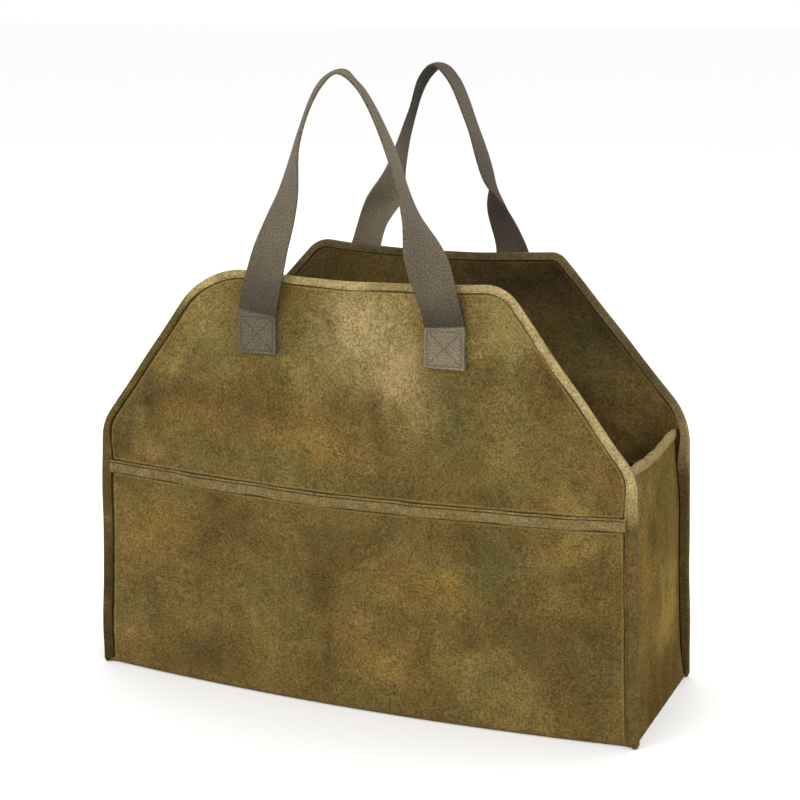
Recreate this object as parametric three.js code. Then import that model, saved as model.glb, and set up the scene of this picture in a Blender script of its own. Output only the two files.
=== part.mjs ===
// Canvas log carrier: a soft open-topped bag of waxed canvas with bound seams and two
// webbing handles. Millimetres, +Z up, front towards -Y, +X to the right seen from the front.
// The origin is the middle of the underside.
import * as THREE from 'three';

// Body of the bag
const bodyLength = 500; // between the end panels at the floor
const bodyDepth = 180; // between the outer faces of the front and the rear
const canvasWall = 2;
const gussetHeight = 236; // top edge of the end panels
const seamDrop = 38; // the level seam lies this far below the top of the end panels
const flapRise = 153; // corners of the flap's top edge above the end panels
const topSag = 6; // dip in the middle of a flap's top edge
const seamSag = 6; // the same in the level seam
const leanPower = 1.5; // a flap leans out more and more towards its top
const hollowFade = 36; // the panels' hollows fade out over this distance from their edges
const foldRadius = 5; // long folds along the underside, outer radius
const endLean = 9; // each end panel leans in by this at its top
const endBow = 4; // and its middle bows out by this

// Seams, tape and band
const sewnGap = 0.3; // clearance between layers that are sewn together
const seamAllowance = 12; // cloth turned out at the four corner seams
const allowanceRise = 6; // height over which it tapers to nothing at the floor
const tapeWall = 1;
const tapeDepth = 9.5; // how far the folded tape reaches in from a corner seam's edge
const topTapeDepth = 5.5; // and from a slope or a top edge
const tapeMinimum = 0.8; // least reach of the tape's inner leg beside an end panel
const bandWall = 1.6;
const bandAbove = 3; // of the band, above the level seam
const bandBelow = 7.5; // and below it

// Webbing handles
const webbingWidth = 36;
const webbingWall = 2;
const boxHeight = 34; // the sewn box at each end of the webbing
const boxDrop = 39; // top of the box below the corners of the flap
const bevelHeight = 0.6; // over which the folded-under layer ends

const seamHeight = gussetHeight - seamDrop;
const flapHeight = gussetHeight + flapRise;
const boxTop = flapHeight - boxDrop;

// Number of facets
const wallColumns = 20;
const wallRows = 5;
const flapRows = 6;
const arcSteps = 4;
const slopeSteps = 6;
const topSteps = 7;
const gussetSteps = 8;
const loopSteps = 40;
const boxSteps = 2;
const reachSteps = 30;

// Extra rows, as shares: of the slope just above the shoulder, where the tape comes free of the
// end panel, and of the depth, across the bottom
const slopeShares = [0.015, 0.03, 0.05, 0.08, 0.12];
const floorShares = [-0.4, 0, 0.4];

// Each side.
// facing: its direction along Y. floorBow, topBow: how far its middle bows out at the floor and at
// the top. lean: how far its flap leans out at the top.
// topLength: the flap's top edge between its sharp corners. shoulder: height over the end panels
// where its upright sides would meet its slopes. shoulderRadius, leftRadius, rightRadius: of the
// rounded shoulders and top corners.
// spread: between the handle's legs. rise: the handle's height over the sewn boxes. bulge: how far
// it stands out.
const sides = {
  front: {
    facing: -1, floorBow: 16, topBow: 2, lean: 2,
    topLength: 278, shoulder: 0, shoulderRadius: 45, leftRadius: 78, rightRadius: 32,
    spread: 175, rise: 210, bulge: 16,
  },
  rear: {
    facing: 1, floorBow: 8, topBow: 0, lean: 15,
    topLength: 245, shoulder: 10, shoulderRadius: 62, leftRadius: 26, rightRadius: 16,
    spread: 161, rise: 209, bulge: 18,
  },
};

// Shallow hollows of the soft panels. across: centre, as a share of half the body length.
// up: centre, as a share of the panel's height. wide, tall: half sizes, as shares of the same.
// deep: depth as a share of the seam allowance, positive inwards.
const lowerHollows = [
  { across: -0.3, up: 0.5, wide: 0.55, tall: 0.7, deep: 0.3 },
  { across: 0.45, up: 0.55, wide: 0.45, tall: 0.6, deep: 0.22 },
  { across: 0.85, up: 0.3, wide: 0.2, tall: 0.5, deep: -0.12 },
];
const flapHollows = [
  { across: 0.0, up: 0.45, wide: 0.24, tall: 0.5, deep: 0.28 },
  { across: -0.62, up: 0.3, wide: 0.22, tall: 0.35, deep: -0.16 },
  { across: 0.62, up: 0.3, wide: 0.22, tall: 0.35, deep: 0.2 },
];

// Free loop of each handle, from its left leg over the crown to its right leg.
// across: share of half the spread. out: share of the bulge. up: share of the rise.
// turn: direction of the webbing's width seen from above, degrees clockwise from +X.
// lift: how far that direction tips up, degrees.
const handleRows = {
  front: [
    { across: -1.0, out: 0.0, up: 0.0, turn: 0, lift: 0 },
    { across: -0.82, out: 0.5, up: 0.25, turn: 13, lift: -13 },
    { across: -0.59, out: 0.75, up: 0.5, turn: 39, lift: -15 },
    { across: -0.44, out: 0.95, up: 0.75, turn: 66, lift: -19 },
    { across: -0.21, out: 1.0, up: 0.95, turn: 67, lift: -9 },
    { across: 0.01, out: 1.0, up: 1.0, turn: 68, lift: -2 },
    { across: 0.21, out: 1.0, up: 0.95, turn: 72, lift: 0 },
    { across: 0.49, out: 0.95, up: 0.74, turn: 78, lift: 1 },
    { across: 0.725, out: 0.75, up: 0.445, turn: 90, lift: -1 },
    { across: 0.915, out: 0.5, up: 0.18, turn: 170, lift: 0 },
    { across: 1.0, out: 0.0, up: 0.0, turn: 180, lift: 0 },
  ],
  rear: [
    { across: -1.0, out: 0.0, up: 0.0, turn: 180, lift: 0 },
    { across: -0.85, out: 0.75, up: 0.28, turn: 186, lift: 2 },
    { across: -0.68, out: 0.9, up: 0.515, turn: 104, lift: -1 },
    { across: -0.43, out: 0.75, up: 0.78, turn: 80, lift: 0 },
    { across: -0.25, out: 0.65, up: 0.945, turn: 85, lift: 2 },
    { across: -0.06, out: 0.6, up: 1.0, turn: 90, lift: 3 },
    { across: 0.12, out: 0.65, up: 0.945, turn: 88, lift: 3 },
    { across: 0.36, out: 0.75, up: 0.735, turn: 85, lift: 2 },
    { across: 0.57, out: 0.95, up: 0.51, turn: 86, lift: 1 },
    { across: 0.69, out: 1.0, up: 0.365, turn: 40, lift: 10 },
    { across: 0.84, out: 0.7, up: 0.2, turn: 24, lift: 4 },
    { across: 1.0, out: 0.0, up: 0.0, turn: 0, lift: 0 },
  ],
};

const canvas = { color: 0x6e5a32, roughness: 0.72, metalness: 0 };
const tape = { color: 0x7d6f49, roughness: 0.8, metalness: 0 };
const webbing = { color: 0x6d6455, roughness: 0.85, metalness: 0 };

const clamp = THREE.MathUtils.clamp;
const lerp = THREE.MathUtils.lerp;
const smooth = THREE.MathUtils.smoothstep;

// Numbers from first to last in equal steps
function steps(first, last, count) {
  return Array.from({ length: count + 1 }, (_, i) => lerp(first, last, i / count));
}

// Outer face of an end panel at a height, without its bow
function endFace(z) {
  return bodyLength / 2 - endLean * clamp(z / gussetHeight, 0, 1);
}

// Edge of the front or rear cloth at a height, up to the shoulder
function sideEdge(z) {
  return endFace(z) + seamAllowance * clamp(z / allowanceRise, 0, 1);
}

// Points of a rounded corner between two straight runs
function roundCorner(before, corner, after, radius) {
  const toBefore = before.clone().sub(corner).normalize();
  const toAfter = after.clone().sub(corner).normalize();
  const half = Math.acos(clamp(toBefore.dot(toAfter), -1, 1)) / 2;
  const centre = toBefore.clone().add(toAfter).normalize();
  centre.multiplyScalar(radius / Math.sin(half)).add(corner);
  const start = corner.clone().addScaledVector(toBefore, radius / Math.tan(half));
  const end = corner.clone().addScaledVector(toAfter, radius / Math.tan(half));
  const from = start.clone().sub(centre).angle();
  let sweep = end.clone().sub(centre).angle() - from;
  sweep -= 2 * Math.PI * Math.round(sweep / (2 * Math.PI));
  return steps(0, 1, arcSteps).map((t) => {
    const angle = from + sweep * t;
    return new THREE.Vector2(Math.cos(angle), Math.sin(angle)).multiplyScalar(radius).add(centre);
  });
}

// Height of a flap's top edge at a distance from the middle
function topEdge(side, x) {
  return flapHeight - topSag * (1 - (2 * x / side.topLength) ** 2);
}

// Half of a flap's outline above the level seam, from its right shoulder to the middle, as (x, z)
function halfOutline(side, cornerRadius) {
  const shoulderHeight = gussetHeight + side.shoulder;
  const shoulder = new THREE.Vector2(sideEdge(shoulderHeight), shoulderHeight);
  const corner = new THREE.Vector2(side.topLength / 2, flapHeight);
  const low = new THREE.Vector2(sideEdge(seamHeight), seamHeight);
  const inner = side.topLength / 2 - cornerRadius;
  const top = new THREE.Vector2(inner, topEdge(side, inner));
  const shoulderArc = roundCorner(low, shoulder, corner, side.shoulderRadius);
  const cornerArc = roundCorner(shoulder, corner, top, cornerRadius);
  const slopeStart = shoulderArc.at(-1);
  const slopeRows = [...slopeShares, ...steps(slopeShares.at(-1), 1, slopeSteps).slice(1, -1)];
  const slope = slopeRows.map((t) => slopeStart.clone().lerp(cornerArc[0], t));
  const topStart = cornerArc.at(-1);
  const flat = steps(topStart.x, 0, topSteps).slice(1);
  // The top edge starts where the corner's arc ends and keeps its dip in the middle
  const rest = topStart.y - topEdge(side, topStart.x);
  const level = flat.map((x) => new THREE.Vector2(x, topEdge(side, x) + rest * x / topStart.x));
  return [...shoulderArc, ...slope, ...cornerArc, ...level];
}

// The whole outline from the right shoulder over the top to the left shoulder
function flapOutline(side) {
  const right = halfOutline(side, side.rightRadius);
  const left = halfOutline(side, side.leftRadius).map((p) => new THREE.Vector2(-p.x, p.y));
  return [...right, ...left.slice(0, -1).reverse()];
}

for (const side of Object.values(sides)) {
  side.outline = flapOutline(side);
}

// Top of a side's cloth at a distance from the middle, near its shoulder
function clothTop(side, x) {
  for (let i = 1; i < side.outline.length / 2; i += 1) {
    const [a, b] = [side.outline[i - 1], side.outline[i]];
    if (x >= b.x && a.x > b.x) {
      return lerp(b.y, a.y, clamp((x - b.x) / (a.x - b.x), 0, 1));
    }
  }
  return flapHeight;
}

// One rounded hump, 1 at its centre and 0 at its rim
function hump(distance) {
  return distance < 1 ? (0.5 + 0.5 * Math.cos(Math.PI * distance)) : 0;
}

// How far a panel is pushed in at a point, fading out towards its edges
function hollow(side, rows, x, z, foot, head) {
  const height = head - foot;
  const slopeRun = (bodyLength - side.topLength) / 2 / (flapHeight - gussetHeight - side.shoulder);
  const slopeGap = side.topLength / 2 + (flapHeight - z) * slopeRun - Math.abs(x);
  const sideGap = bodyLength / 2 - Math.abs(x);
  const edgeGap = Math.min(z - foot, head - z, sideGap, z > seamHeight ? slopeGap : sideGap);
  let push = 0;
  for (const row of rows) {
    const dx = (x - row.across * bodyLength / 2) / (row.wide * bodyLength / 2);
    const dz = (z - foot - row.up * height) / (row.tall * height);
    push += row.deep * seamAllowance * hump(Math.hypot(dx, dz));
  }
  return push * smooth(edgeGap, 0, hollowFade);
}

// 1 in the middle of the body's length and 0 at its end panels
function middling(x, z) {
  return clamp(1 - (x / endFace(z)) ** 2, 0, 1);
}

// How far a side bows out at a point
function sideBow(side, x, z) {
  return lerp(side.floorBow, side.topBow, clamp(z / flapHeight, 0, 1)) * middling(x, z);
}

// Height of the level seam at a distance from the middle
function seamLine(x) {
  return seamHeight - seamSag * middling(x, seamHeight);
}

// Y of the cloth's outer face, laid a distance outwards (negative: inwards)
function skin(side, x, z, outwards = 0) {
  const above = clamp((z - seamHeight) / (flapHeight - seamHeight), 0, 1);
  const push = z < seamHeight
    ? hollow(side, lowerHollows, x, z, 0, seamHeight)
    : hollow(side, flapHollows, x, z, seamHeight, flapHeight - topSag);
  const swell = side.lean * above ** leanPower + sideBow(side, x, z);
  return side.facing * (bodyDepth / 2 + swell - push + outwards);
}

// A closed solid from triangles, turned to face outwards
function solid(points, triangles) {
  const index = triangles.flat();
  let volume = 0;
  for (let i = 0; i < index.length; i += 3) {
    const [a, b, c] = [points[index[i]], points[index[i + 1]], points[index[i + 2]]];
    volume += a.dot(b.clone().cross(c));
  }
  const geometry = new THREE.BufferGeometry().setFromPoints(points);
  geometry.setIndex(volume < 0 ? index.reverse() : index);
  geometry.computeVertexNormals();
  return geometry;
}

// A sheet with a wall: two grids of points, outer and inner, closed along their four borders
function sheet(outer, inner) {
  const rows = outer.length;
  const columns = outer[0].length;
  const points = [...outer.flat(), ...inner.flat()];
  const at = (layer, i, j) => (layer * rows + i) * columns + j;
  const triangles = [];
  const quad = (a, b, c, d) => triangles.push([a, b, c], [a, c, d]);
  for (let i = 0; i < rows - 1; i += 1) {
    for (let j = 0; j < columns - 1; j += 1) {
      quad(at(0, i, j), at(0, i, j + 1), at(0, i + 1, j + 1), at(0, i + 1, j));
      quad(at(1, i + 1, j), at(1, i + 1, j + 1), at(1, i, j + 1), at(1, i, j));
    }
    quad(at(1, i, 0), at(0, i, 0), at(0, i + 1, 0), at(1, i + 1, 0));
    const last = columns - 1;
    quad(at(0, i, last), at(1, i, last), at(1, i + 1, last), at(0, i + 1, last));
  }
  for (let j = 0; j < columns - 1; j += 1) {
    quad(at(1, 0, j), at(1, 0, j + 1), at(0, 0, j + 1), at(0, 0, j));
    const last = rows - 1;
    quad(at(0, last, j), at(0, last, j + 1), at(1, last, j + 1), at(1, last, j));
  }
  return solid(points, triangles);
}

// A section's points in its own plane, counter-clockwise
function flatten(section) {
  const normal = new THREE.Vector3();
  section.forEach((p, i) => normal.add(p.clone().cross(section[(i + 1) % section.length])));
  const across = section[1].clone().sub(section[0]).normalize();
  const up = normal.normalize().cross(across);
  return section.map((p) => new THREE.Vector2(p.dot(across), p.dot(up)));
}

// A row of closed sections joined into one solid with two flat ends
function loft(sections) {
  const size = sections[0].length;
  const points = sections.flat();
  const triangles = [];
  for (let i = 0; i < sections.length - 1; i += 1) {
    for (let k = 0; k < size; k += 1) {
      const [a, b] = [i * size + k, i * size + (k + 1) % size];
      triangles.push([a, b, b + size], [a, b + size, a + size]);
    }
  }
  for (const [a, b, c] of THREE.ShapeUtils.triangulateShape(flatten(sections[0]), [])) {
    triangles.push([c, b, a]);
  }
  const last = (sections.length - 1) * size;
  for (const [a, b, c] of THREE.ShapeUtils.triangulateShape(flatten(sections.at(-1)), [])) {
    triangles.push([a + last, b + last, c + last]);
  }
  return solid(points, triangles);
}

// Places across the body's length, from -1 to 1, closer together towards its ends
function columns() {
  return steps(-1, 1, wallColumns).map((share) => Math.sin(share * Math.PI / 2));
}

// The lower front, the bottom and the lower rear in one piece, folded up at the long edges
function basePanel() {
  const head = seamHeight - sewnGap / 2;
  const wallHeights = [
    head,
    head - bandBelow,
    ...steps(head - 2 * bandBelow, 2 * allowanceRise, wallRows),
    allowanceRise,
  ];
  const path = [];
  for (const z of wallHeights) {
    path.push({ side: sides.front, z });
  }
  const folds = steps(0, Math.PI / 2, arcSteps);
  for (const angle of folds) {
    path.push({ fold: angle, side: sides.front });
  }
  for (const share of floorShares) {
    path.push({ floor: share * bodyDepth });
  }
  for (const angle of folds.slice().reverse()) {
    path.push({ fold: angle, side: sides.rear });
  }
  for (const z of wallHeights.slice().reverse()) {
    path.push({ side: sides.rear, z });
  }
  const layer = (depth) => path.map((place) => columns().map((u) => {
    if (place.z !== undefined) {
      const x = u * sideEdge(place.z);
      const z = place.z * (seamLine(x) / seamHeight);
      return new THREE.Vector3(x, skin(place.side, x, z, -depth), z);
    }
    if (place.floor !== undefined) {
      return new THREE.Vector3(u * sideEdge(0), place.floor, depth);
    }
    const radius = foldRadius - depth;
    const outerZ = foldRadius - foldRadius * Math.sin(place.fold);
    const x = u * sideEdge(outerZ);
    const y = bodyDepth / 2 + sideBow(place.side, x, 0) - foldRadius + radius * Math.cos(place.fold);
    const z = foldRadius - radius * Math.sin(place.fold);
    return new THREE.Vector3(x, place.side.facing * y, z);
  }));
  return sheet(layer(0), layer(canvasWall));
}

// The upper panel of one side, from the level seam to its outline
function flap(side) {
  const foot = seamHeight + sewnGap / 2;
  const reach = side.outline[0].x;
  const layer = (depth) => steps(0, 1, flapRows).map((t) => side.outline.map((p) => {
    const footX = p.x / reach * sideEdge(foot);
    const x = lerp(footX, p.x, t);
    const z = lerp(seamLine(footX) + sewnGap / 2, p.y, t);
    return new THREE.Vector3(x, skin(side, x, z, -depth), z);
  }));
  return sheet(layer(0), layer(canvasWall));
}

// Plan of an end panel: stations from its front seam edge, along its wall, to its rear seam edge.
// out: how far beyond the end's outer face. along: position from the front cloth to the rear cloth.
function gussetStations() {
  const turned = [
    { out: seamAllowance, along: 0 },
    { out: seamAllowance / 2, along: 0 },
    { out: canvasWall / 2, along: 0 },
  ];
  const wall = steps(0, 1, gussetSteps).map((along) => ({ wall: true, along }));
  return [
    ...turned,
    ...wall,
    ...turned.slice().reverse().map((s) => ({ ...s, along: 1 })),
  ];
}

// Bow of an end panel, largest at the middle of its top edge
function bow(along, z) {
  return endBow * Math.sin(Math.PI * along) ** 2 * smooth(z, 0, gussetHeight);
}

// One end panel: an upright wall whose side edges turn out into the corner seams
function gusset(end) {
  const clear = canvasWall + sewnGap;
  const stations = gussetStations();
  const heights = steps(0, 1, gussetSteps);
  const layer = (outer) => heights.map((t) => stations.map((station) => {
    const reach = station.wall ? 0 : station.out;
    const nearEdge = endFace(seamHeight) + reach;
    const nearSide = station.along < 0.5 ? sides.front : sides.rear;
    const head = Math.min(gussetHeight, clothTop(nearSide, nearEdge));
    const rim = station.along === 0 || station.along === 1;
    const foot = rim ? foldRadius + allowanceRise * reach / seamAllowance : clear;
    const z = lerp(foot, head, t);
    const front = skin(sides.front, endFace(z), z, -clear);
    const rear = skin(sides.rear, endFace(z), z, -clear);
    let x = endFace(z) + bow(station.along, z);
    let y = lerp(front, rear, station.along);
    if (!station.wall) {
      const inward = station.along === 0 ? 1 : -1;
      x = endFace(z) + station.out;
      y += outer ? inward * canvasWall : 0;
    } else if (outer) {
      y = lerp(front + canvasWall, rear - canvasWall, station.along);
    } else {
      x -= canvasWall;
    }
    return new THREE.Vector3(end * x, y, z);
  }));
  return sheet(layer(true), layer(false));
}

// How far the folded tape reaches in at a height
function tapeReach(z) {
  return lerp(tapeDepth, topTapeDepth, smooth(z, seamHeight, gussetHeight + tapeDepth));
}

// Stations of the edge tape: from the right bottom corner up, over the flap and down again
function edgeStations(side) {
  const heights = [foldRadius, ...steps(allowanceRise, seamHeight, wallRows)];
  const right = heights.map((z) => new THREE.Vector2(sideEdge(z), z));
  const left = right.slice().reverse().map((p) => new THREE.Vector2(-p.x, p.y));
  const points = [...right, ...side.outline, ...left];
  return points.map((point, i) => {
    const before = points[Math.max(i - 1, 0)];
    const after = points[Math.min(i + 1, points.length - 1)];
    const first = point.clone().sub(before).normalize();
    const second = after.clone().sub(point).normalize();
    const along = first.add(second).normalize();
    return { point, inward: new THREE.Vector2(-along.y, along.x) };
  });
}

// How far the tape's inner leg may reach in before it meets the wall of an end panel
function innerReach({ point, inward }) {
  for (const reach of steps(tapeMinimum, tapeReach(point.y), reachSteps)) {
    const x = Math.abs(point.x + inward.x * reach);
    const z = point.y + inward.y * reach;
    if (x < endFace(z) + tapeWall && z < gussetHeight + tapeWall) {
      return Math.max(reach - sewnGap, tapeMinimum);
    }
  }
  return tapeReach(point.y);
}

// The folded tape along one side's corner seams, slopes and top edge
function edgeBinding(side) {
  const gap = sewnGap;
  const stations = edgeStations(side);
  const reaches = stations.map(innerReach);
  const sections = stations.map(({ point, inward }, i) => {
    const at = (reach, outwards) => {
      const x = point.x + inward.x * reach;
      const z = point.y + inward.y * reach;
      return new THREE.Vector3(x, skin(side, x, z, outwards), z);
    };
    const sewnIn = 1 - smooth(point.y, gussetHeight + tapeDepth, gussetHeight + 3 * tapeDepth);
    const stack = canvasWall + (canvasWall + gap) * sewnIn;
    const inner = Math.min(...reaches.slice(Math.max(i - 1, 0), i + 2));
    const outer = tapeReach(point.y);
    return [
      at(outer, gap + tapeWall),
      at(-gap - tapeWall, gap + tapeWall),
      at(-gap - tapeWall, -stack - gap - tapeWall),
      at(inner, -stack - gap - tapeWall),
      at(inner, -stack - gap),
      at(-gap, -stack - gap),
      at(-gap, gap),
      at(outer, gap),
    ];
  });
  return loft(sections);
}

// The folded tape over the top edge of one end panel
function gussetBinding(end) {
  const clear = 2 * canvasWall + 3 * sewnGap + tapeWall;
  const sections = steps(0, 1, gussetSteps).map((t) => {
    const top = gussetHeight + sewnGap;
    const at = (outwards, z) => {
      const front = skin(sides.front, endFace(z), z, -clear);
      const rear = skin(sides.rear, endFace(z), z, -clear);
      const wallFront = skin(sides.front, endFace(z), z, -2 * canvasWall - sewnGap);
      const wallRear = skin(sides.rear, endFace(z), z, -2 * canvasWall - sewnGap);
      const y = lerp(front, rear, t);
      const along = (y - wallFront) / (wallRear - wallFront);
      const x = endFace(Math.min(z, gussetHeight)) + bow(along, Math.min(z, gussetHeight)) + outwards;
      return new THREE.Vector3(end * x, y, z);
    };
    const low = gussetHeight - topTapeDepth;
    const outer = sewnGap + tapeWall;
    const inner = -canvasWall - sewnGap - tapeWall;
    return [
      at(outer, low),
      at(outer, top + tapeWall),
      at(inner, top + tapeWall),
      at(inner, low),
      at(inner + tapeWall, low),
      at(inner + tapeWall, top),
      at(sewnGap, top),
      at(sewnGap, low),
    ];
  });
  return loft(sections);
}

// The folded band over the level seam, between the corner tapes
function seamBand(side) {
  const reach = sideEdge(seamHeight) - tapeDepth - sewnGap;
  const layer = (outwards) => [-bandBelow, 0, bandAbove].map((up) => columns().map((u) => {
    const x = u * reach;
    const z = seamLine(x) + up;
    return new THREE.Vector3(x, skin(side, x, z, outwards), z);
  }));
  return sheet(layer(sewnGap + bandWall), layer(sewnGap));
}

// One handle: webbing sewn down flat at both ends, with the end folded under, and a free
// loop between them that turns over as it rises
function handle(side, rows) {
  const underlay = sewnGap + webbingWall;
  const middle = underlay + webbingWall / 2;
  const boxFoot = boxTop - boxHeight;
  const place = (row) => {
    const x = row.across * side.spread / 2;
    const z = boxTop + row.up * side.rise;
    return new THREE.Vector3(x, skin(side, x, z, middle + row.out * side.bulge), z);
  };
  const sewn = (row, z) => {
    const x = row.across * side.spread / 2;
    return new THREE.Vector3(x, skin(side, x, z, middle), z);
  };
  const ends = [rows[0], rows.at(-1)];
  const centres = [sewn(ends[0], boxFoot), ...rows.map(place), sewn(ends[1], boxFoot)];
  const angles = [ends[0], ...rows, ends[1]].map((row) => new THREE.Vector3(row.turn, row.lift, 0));
  const route = new THREE.CatmullRomCurve3(centres, false, 'centripetal');
  const angleRoute = new THREE.CatmullRomCurve3(angles, false, 'catmullrom');
  const spans = centres.length - 1;
  const stations = [];
  for (const z of steps(boxFoot, boxTop, boxSteps)) {
    stations.push({ centre: sewn(ends[0], z), doubled: true });
  }
  stations.push({ centre: sewn(ends[0], boxTop + bevelHeight), doubled: false });
  for (const t of steps(1, spans - 1, loopSteps).slice(1, -1)) {
    const angle = angleRoute.getPoint(t / spans);
    stations.push({ centre: route.getPoint(t / spans), tangent: route.getTangent(t / spans), angle });
  }
  stations.push({ centre: sewn(ends[1], boxTop + bevelHeight), doubled: false });
  for (const z of steps(boxTop, boxFoot, boxSteps)) {
    stations.push({ centre: sewn(ends[1], z), doubled: true });
  }
  const sections = stations.map((station, i) => {
    const { centre, tangent, angle, doubled } = station;
    const atStart = i < stations.length / 2;
    const along = tangent ?? new THREE.Vector3(0, 0, atStart ? 1 : -1);
    const { x: turn, y: lift } = angle ?? angles.at(atStart ? 0 : -1);
    const width = new THREE.Vector3(1, 0, 0);
    width.applyAxisAngle(new THREE.Vector3(0, 1, 0), -THREE.MathUtils.degToRad(lift));
    width.applyAxisAngle(new THREE.Vector3(0, 0, 1), -THREE.MathUtils.degToRad(turn));
    width.addScaledVector(along, -width.dot(along)).normalize();
    const out = width.clone().cross(along).normalize();
    const face = webbingWall / 2;
    const back = doubled ? middle - sewnGap : face;
    const at = (across, outwards) => centre.clone()
      .addScaledVector(width, across * webbingWidth / 2)
      .addScaledVector(out, outwards);
    return [at(-1, face), at(1, face), at(1, -back), at(-1, -back)];
  });
  return loft(sections);
}

const carrier = new THREE.Group();

function add(name, geometry, finish) {
  const mesh = new THREE.Mesh(geometry, new THREE.MeshStandardMaterial(finish));
  mesh.name = name;
  carrier.add(mesh);
}

add('base_panel', basePanel(), canvas);
add('left_gusset', gusset(-1), canvas);
add('right_gusset', gusset(1), canvas);
add('left_gusset_binding', gussetBinding(-1), tape);
add('right_gusset_binding', gussetBinding(1), tape);
for (const [name, side] of Object.entries(sides)) {
  add(`${name}_flap`, flap(side), canvas);
  add(`${name}_edge_binding`, edgeBinding(side), tape);
  add(`${name}_seam_band`, seamBand(side), tape);
  add(`${name}_handle`, handle(side, handleRows[name]), webbing);
}

export default carrier;
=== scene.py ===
"""Canvas log carrier: waxed canvas panels, bound seams, bands over the level seams and webbing handles.

Each piece of cloth is laid where the solid lies that it replaces. Metres, +Z up, front towards -Y,
+X to the right seen from the front.
"""

import logging
import math
from collections.abc import Callable, Mapping, Sequence
from dataclasses import dataclass, field
from enum import Enum
from typing import Any, NamedTuple

import bpy
import numpy as np
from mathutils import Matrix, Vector


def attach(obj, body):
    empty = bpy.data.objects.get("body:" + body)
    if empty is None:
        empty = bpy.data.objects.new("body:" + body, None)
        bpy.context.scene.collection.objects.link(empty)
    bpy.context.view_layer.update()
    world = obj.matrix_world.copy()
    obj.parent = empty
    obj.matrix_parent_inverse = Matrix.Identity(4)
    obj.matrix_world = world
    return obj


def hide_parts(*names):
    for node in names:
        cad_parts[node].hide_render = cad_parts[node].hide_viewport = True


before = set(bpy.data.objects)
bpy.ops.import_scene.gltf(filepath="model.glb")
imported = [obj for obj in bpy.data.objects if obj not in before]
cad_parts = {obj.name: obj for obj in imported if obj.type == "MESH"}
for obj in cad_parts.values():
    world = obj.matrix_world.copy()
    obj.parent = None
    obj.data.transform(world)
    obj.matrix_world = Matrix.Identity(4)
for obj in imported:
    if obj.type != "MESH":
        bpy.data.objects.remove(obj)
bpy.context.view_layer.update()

log = logging.getLogger("log_carrier")

MM = 0.001
Array = np.ndarray
Colour = tuple[float, float, float, float]
Place = tuple[float, float, float]


class Slot(Enum):
    """The record's material slots."""

    CANVAS = "canvas"
    TAPE = "tape"
    WEBBING = "webbing"


class End(Enum):
    """The two ends of the carrier, by their direction along X."""

    LEFT = -1
    RIGHT = 1


def srgb(red: float, green: float, blue: float) -> Colour:
    """Turns a colour of 0 to 255 a channel, as a screen shows it, into Blender's linear one.

    Args:
        red: red channel.
        green: green channel.
        blue: blue channel.

    Returns:
        The linear colour, opaque.
    """
    shares = [channel / 255 for channel in (red, green, blue)]
    linear = [s / 12.92 if s <= 0.04045 else ((s + 0.055) / 1.055) ** 2.4 for s in shares]
    return (*linear, 1.0)


def smooth(value: Array | float, low: float, high: float) -> Array:
    """Rises smoothly from 0 at low to 1 at high.

    Args:
        value: what is compared with the two limits.
        low: where the rise starts.
        high: where it ends.

    Returns:
        The share, from 0 to 1.
    """
    share = np.clip((value - low) / (high - low), 0, 1)
    return share * share * (3 - 2 * share)


def spaced(reach: float, step: float, crowding: float = 0.0) -> Array:
    """Gives places from 0 to 1 along a length.

    Args:
        reach: the length, in metres.
        step: the mean distance between two places, in metres.
        crowding: how far the places crowd towards both ends, from 0 to 1.

    Returns:
        The rising places, as shares of the length.
    """
    share = np.linspace(0, 1, max(2, round(reach / step) + 1))
    return share * (1 - crowding) + crowding * (0.5 - 0.5 * np.cos(math.pi * share))


class Row(NamedTuple):
    """One row of a handle's free loop.

    across, out and up are shares of half the spread, the bulge and the rise. turn is the direction
    of the webbing's width, in degrees clockwise from +X seen from above, and lift its tilt upwards.
    cup is how far its edges curl in, in millimetres, and tone its painted light and shade, as a brightness, 1
    where it is as dyed.
    """

    across: float
    out: float
    up: float
    turn: float
    lift: float
    cup: float
    # Painted light and shade along the loop, as brightness.
    tone: float


@dataclass(frozen=True)
class Side:
    """One long side of the carrier: how its cloth bows and leans, and how its handle stands.

    The bows are how far the middle stands out at the floor and at the top, and lean is how far the
    flap leans out at its top. top lies between the sharp corners of the flap's top edge, shoulder
    is how far over the end panels its upright sides would meet its slopes, and the radii are those
    of its rounded shoulders and top corners. spread lies between the legs of the handle, rise is
    the handle's height over its sewn boxes and bulge how far it stands out. The brightness of its
    left and right sewn box is their painted light and shade, and loop holds the rows of the handle.
    """

    name: str
    facing: int
    floor_bow: float
    top_bow: float
    lean: float
    top: float
    shoulder: float
    shoulder_radius: float
    left_radius: float
    right_radius: float
    spread: float
    rise: float
    bulge: float
    phase: float
    # Painted light and shade of the left and right sewn box, as brightness.
    box_light_and_shade: tuple[float, float]
    loop: tuple[Row, ...]


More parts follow.
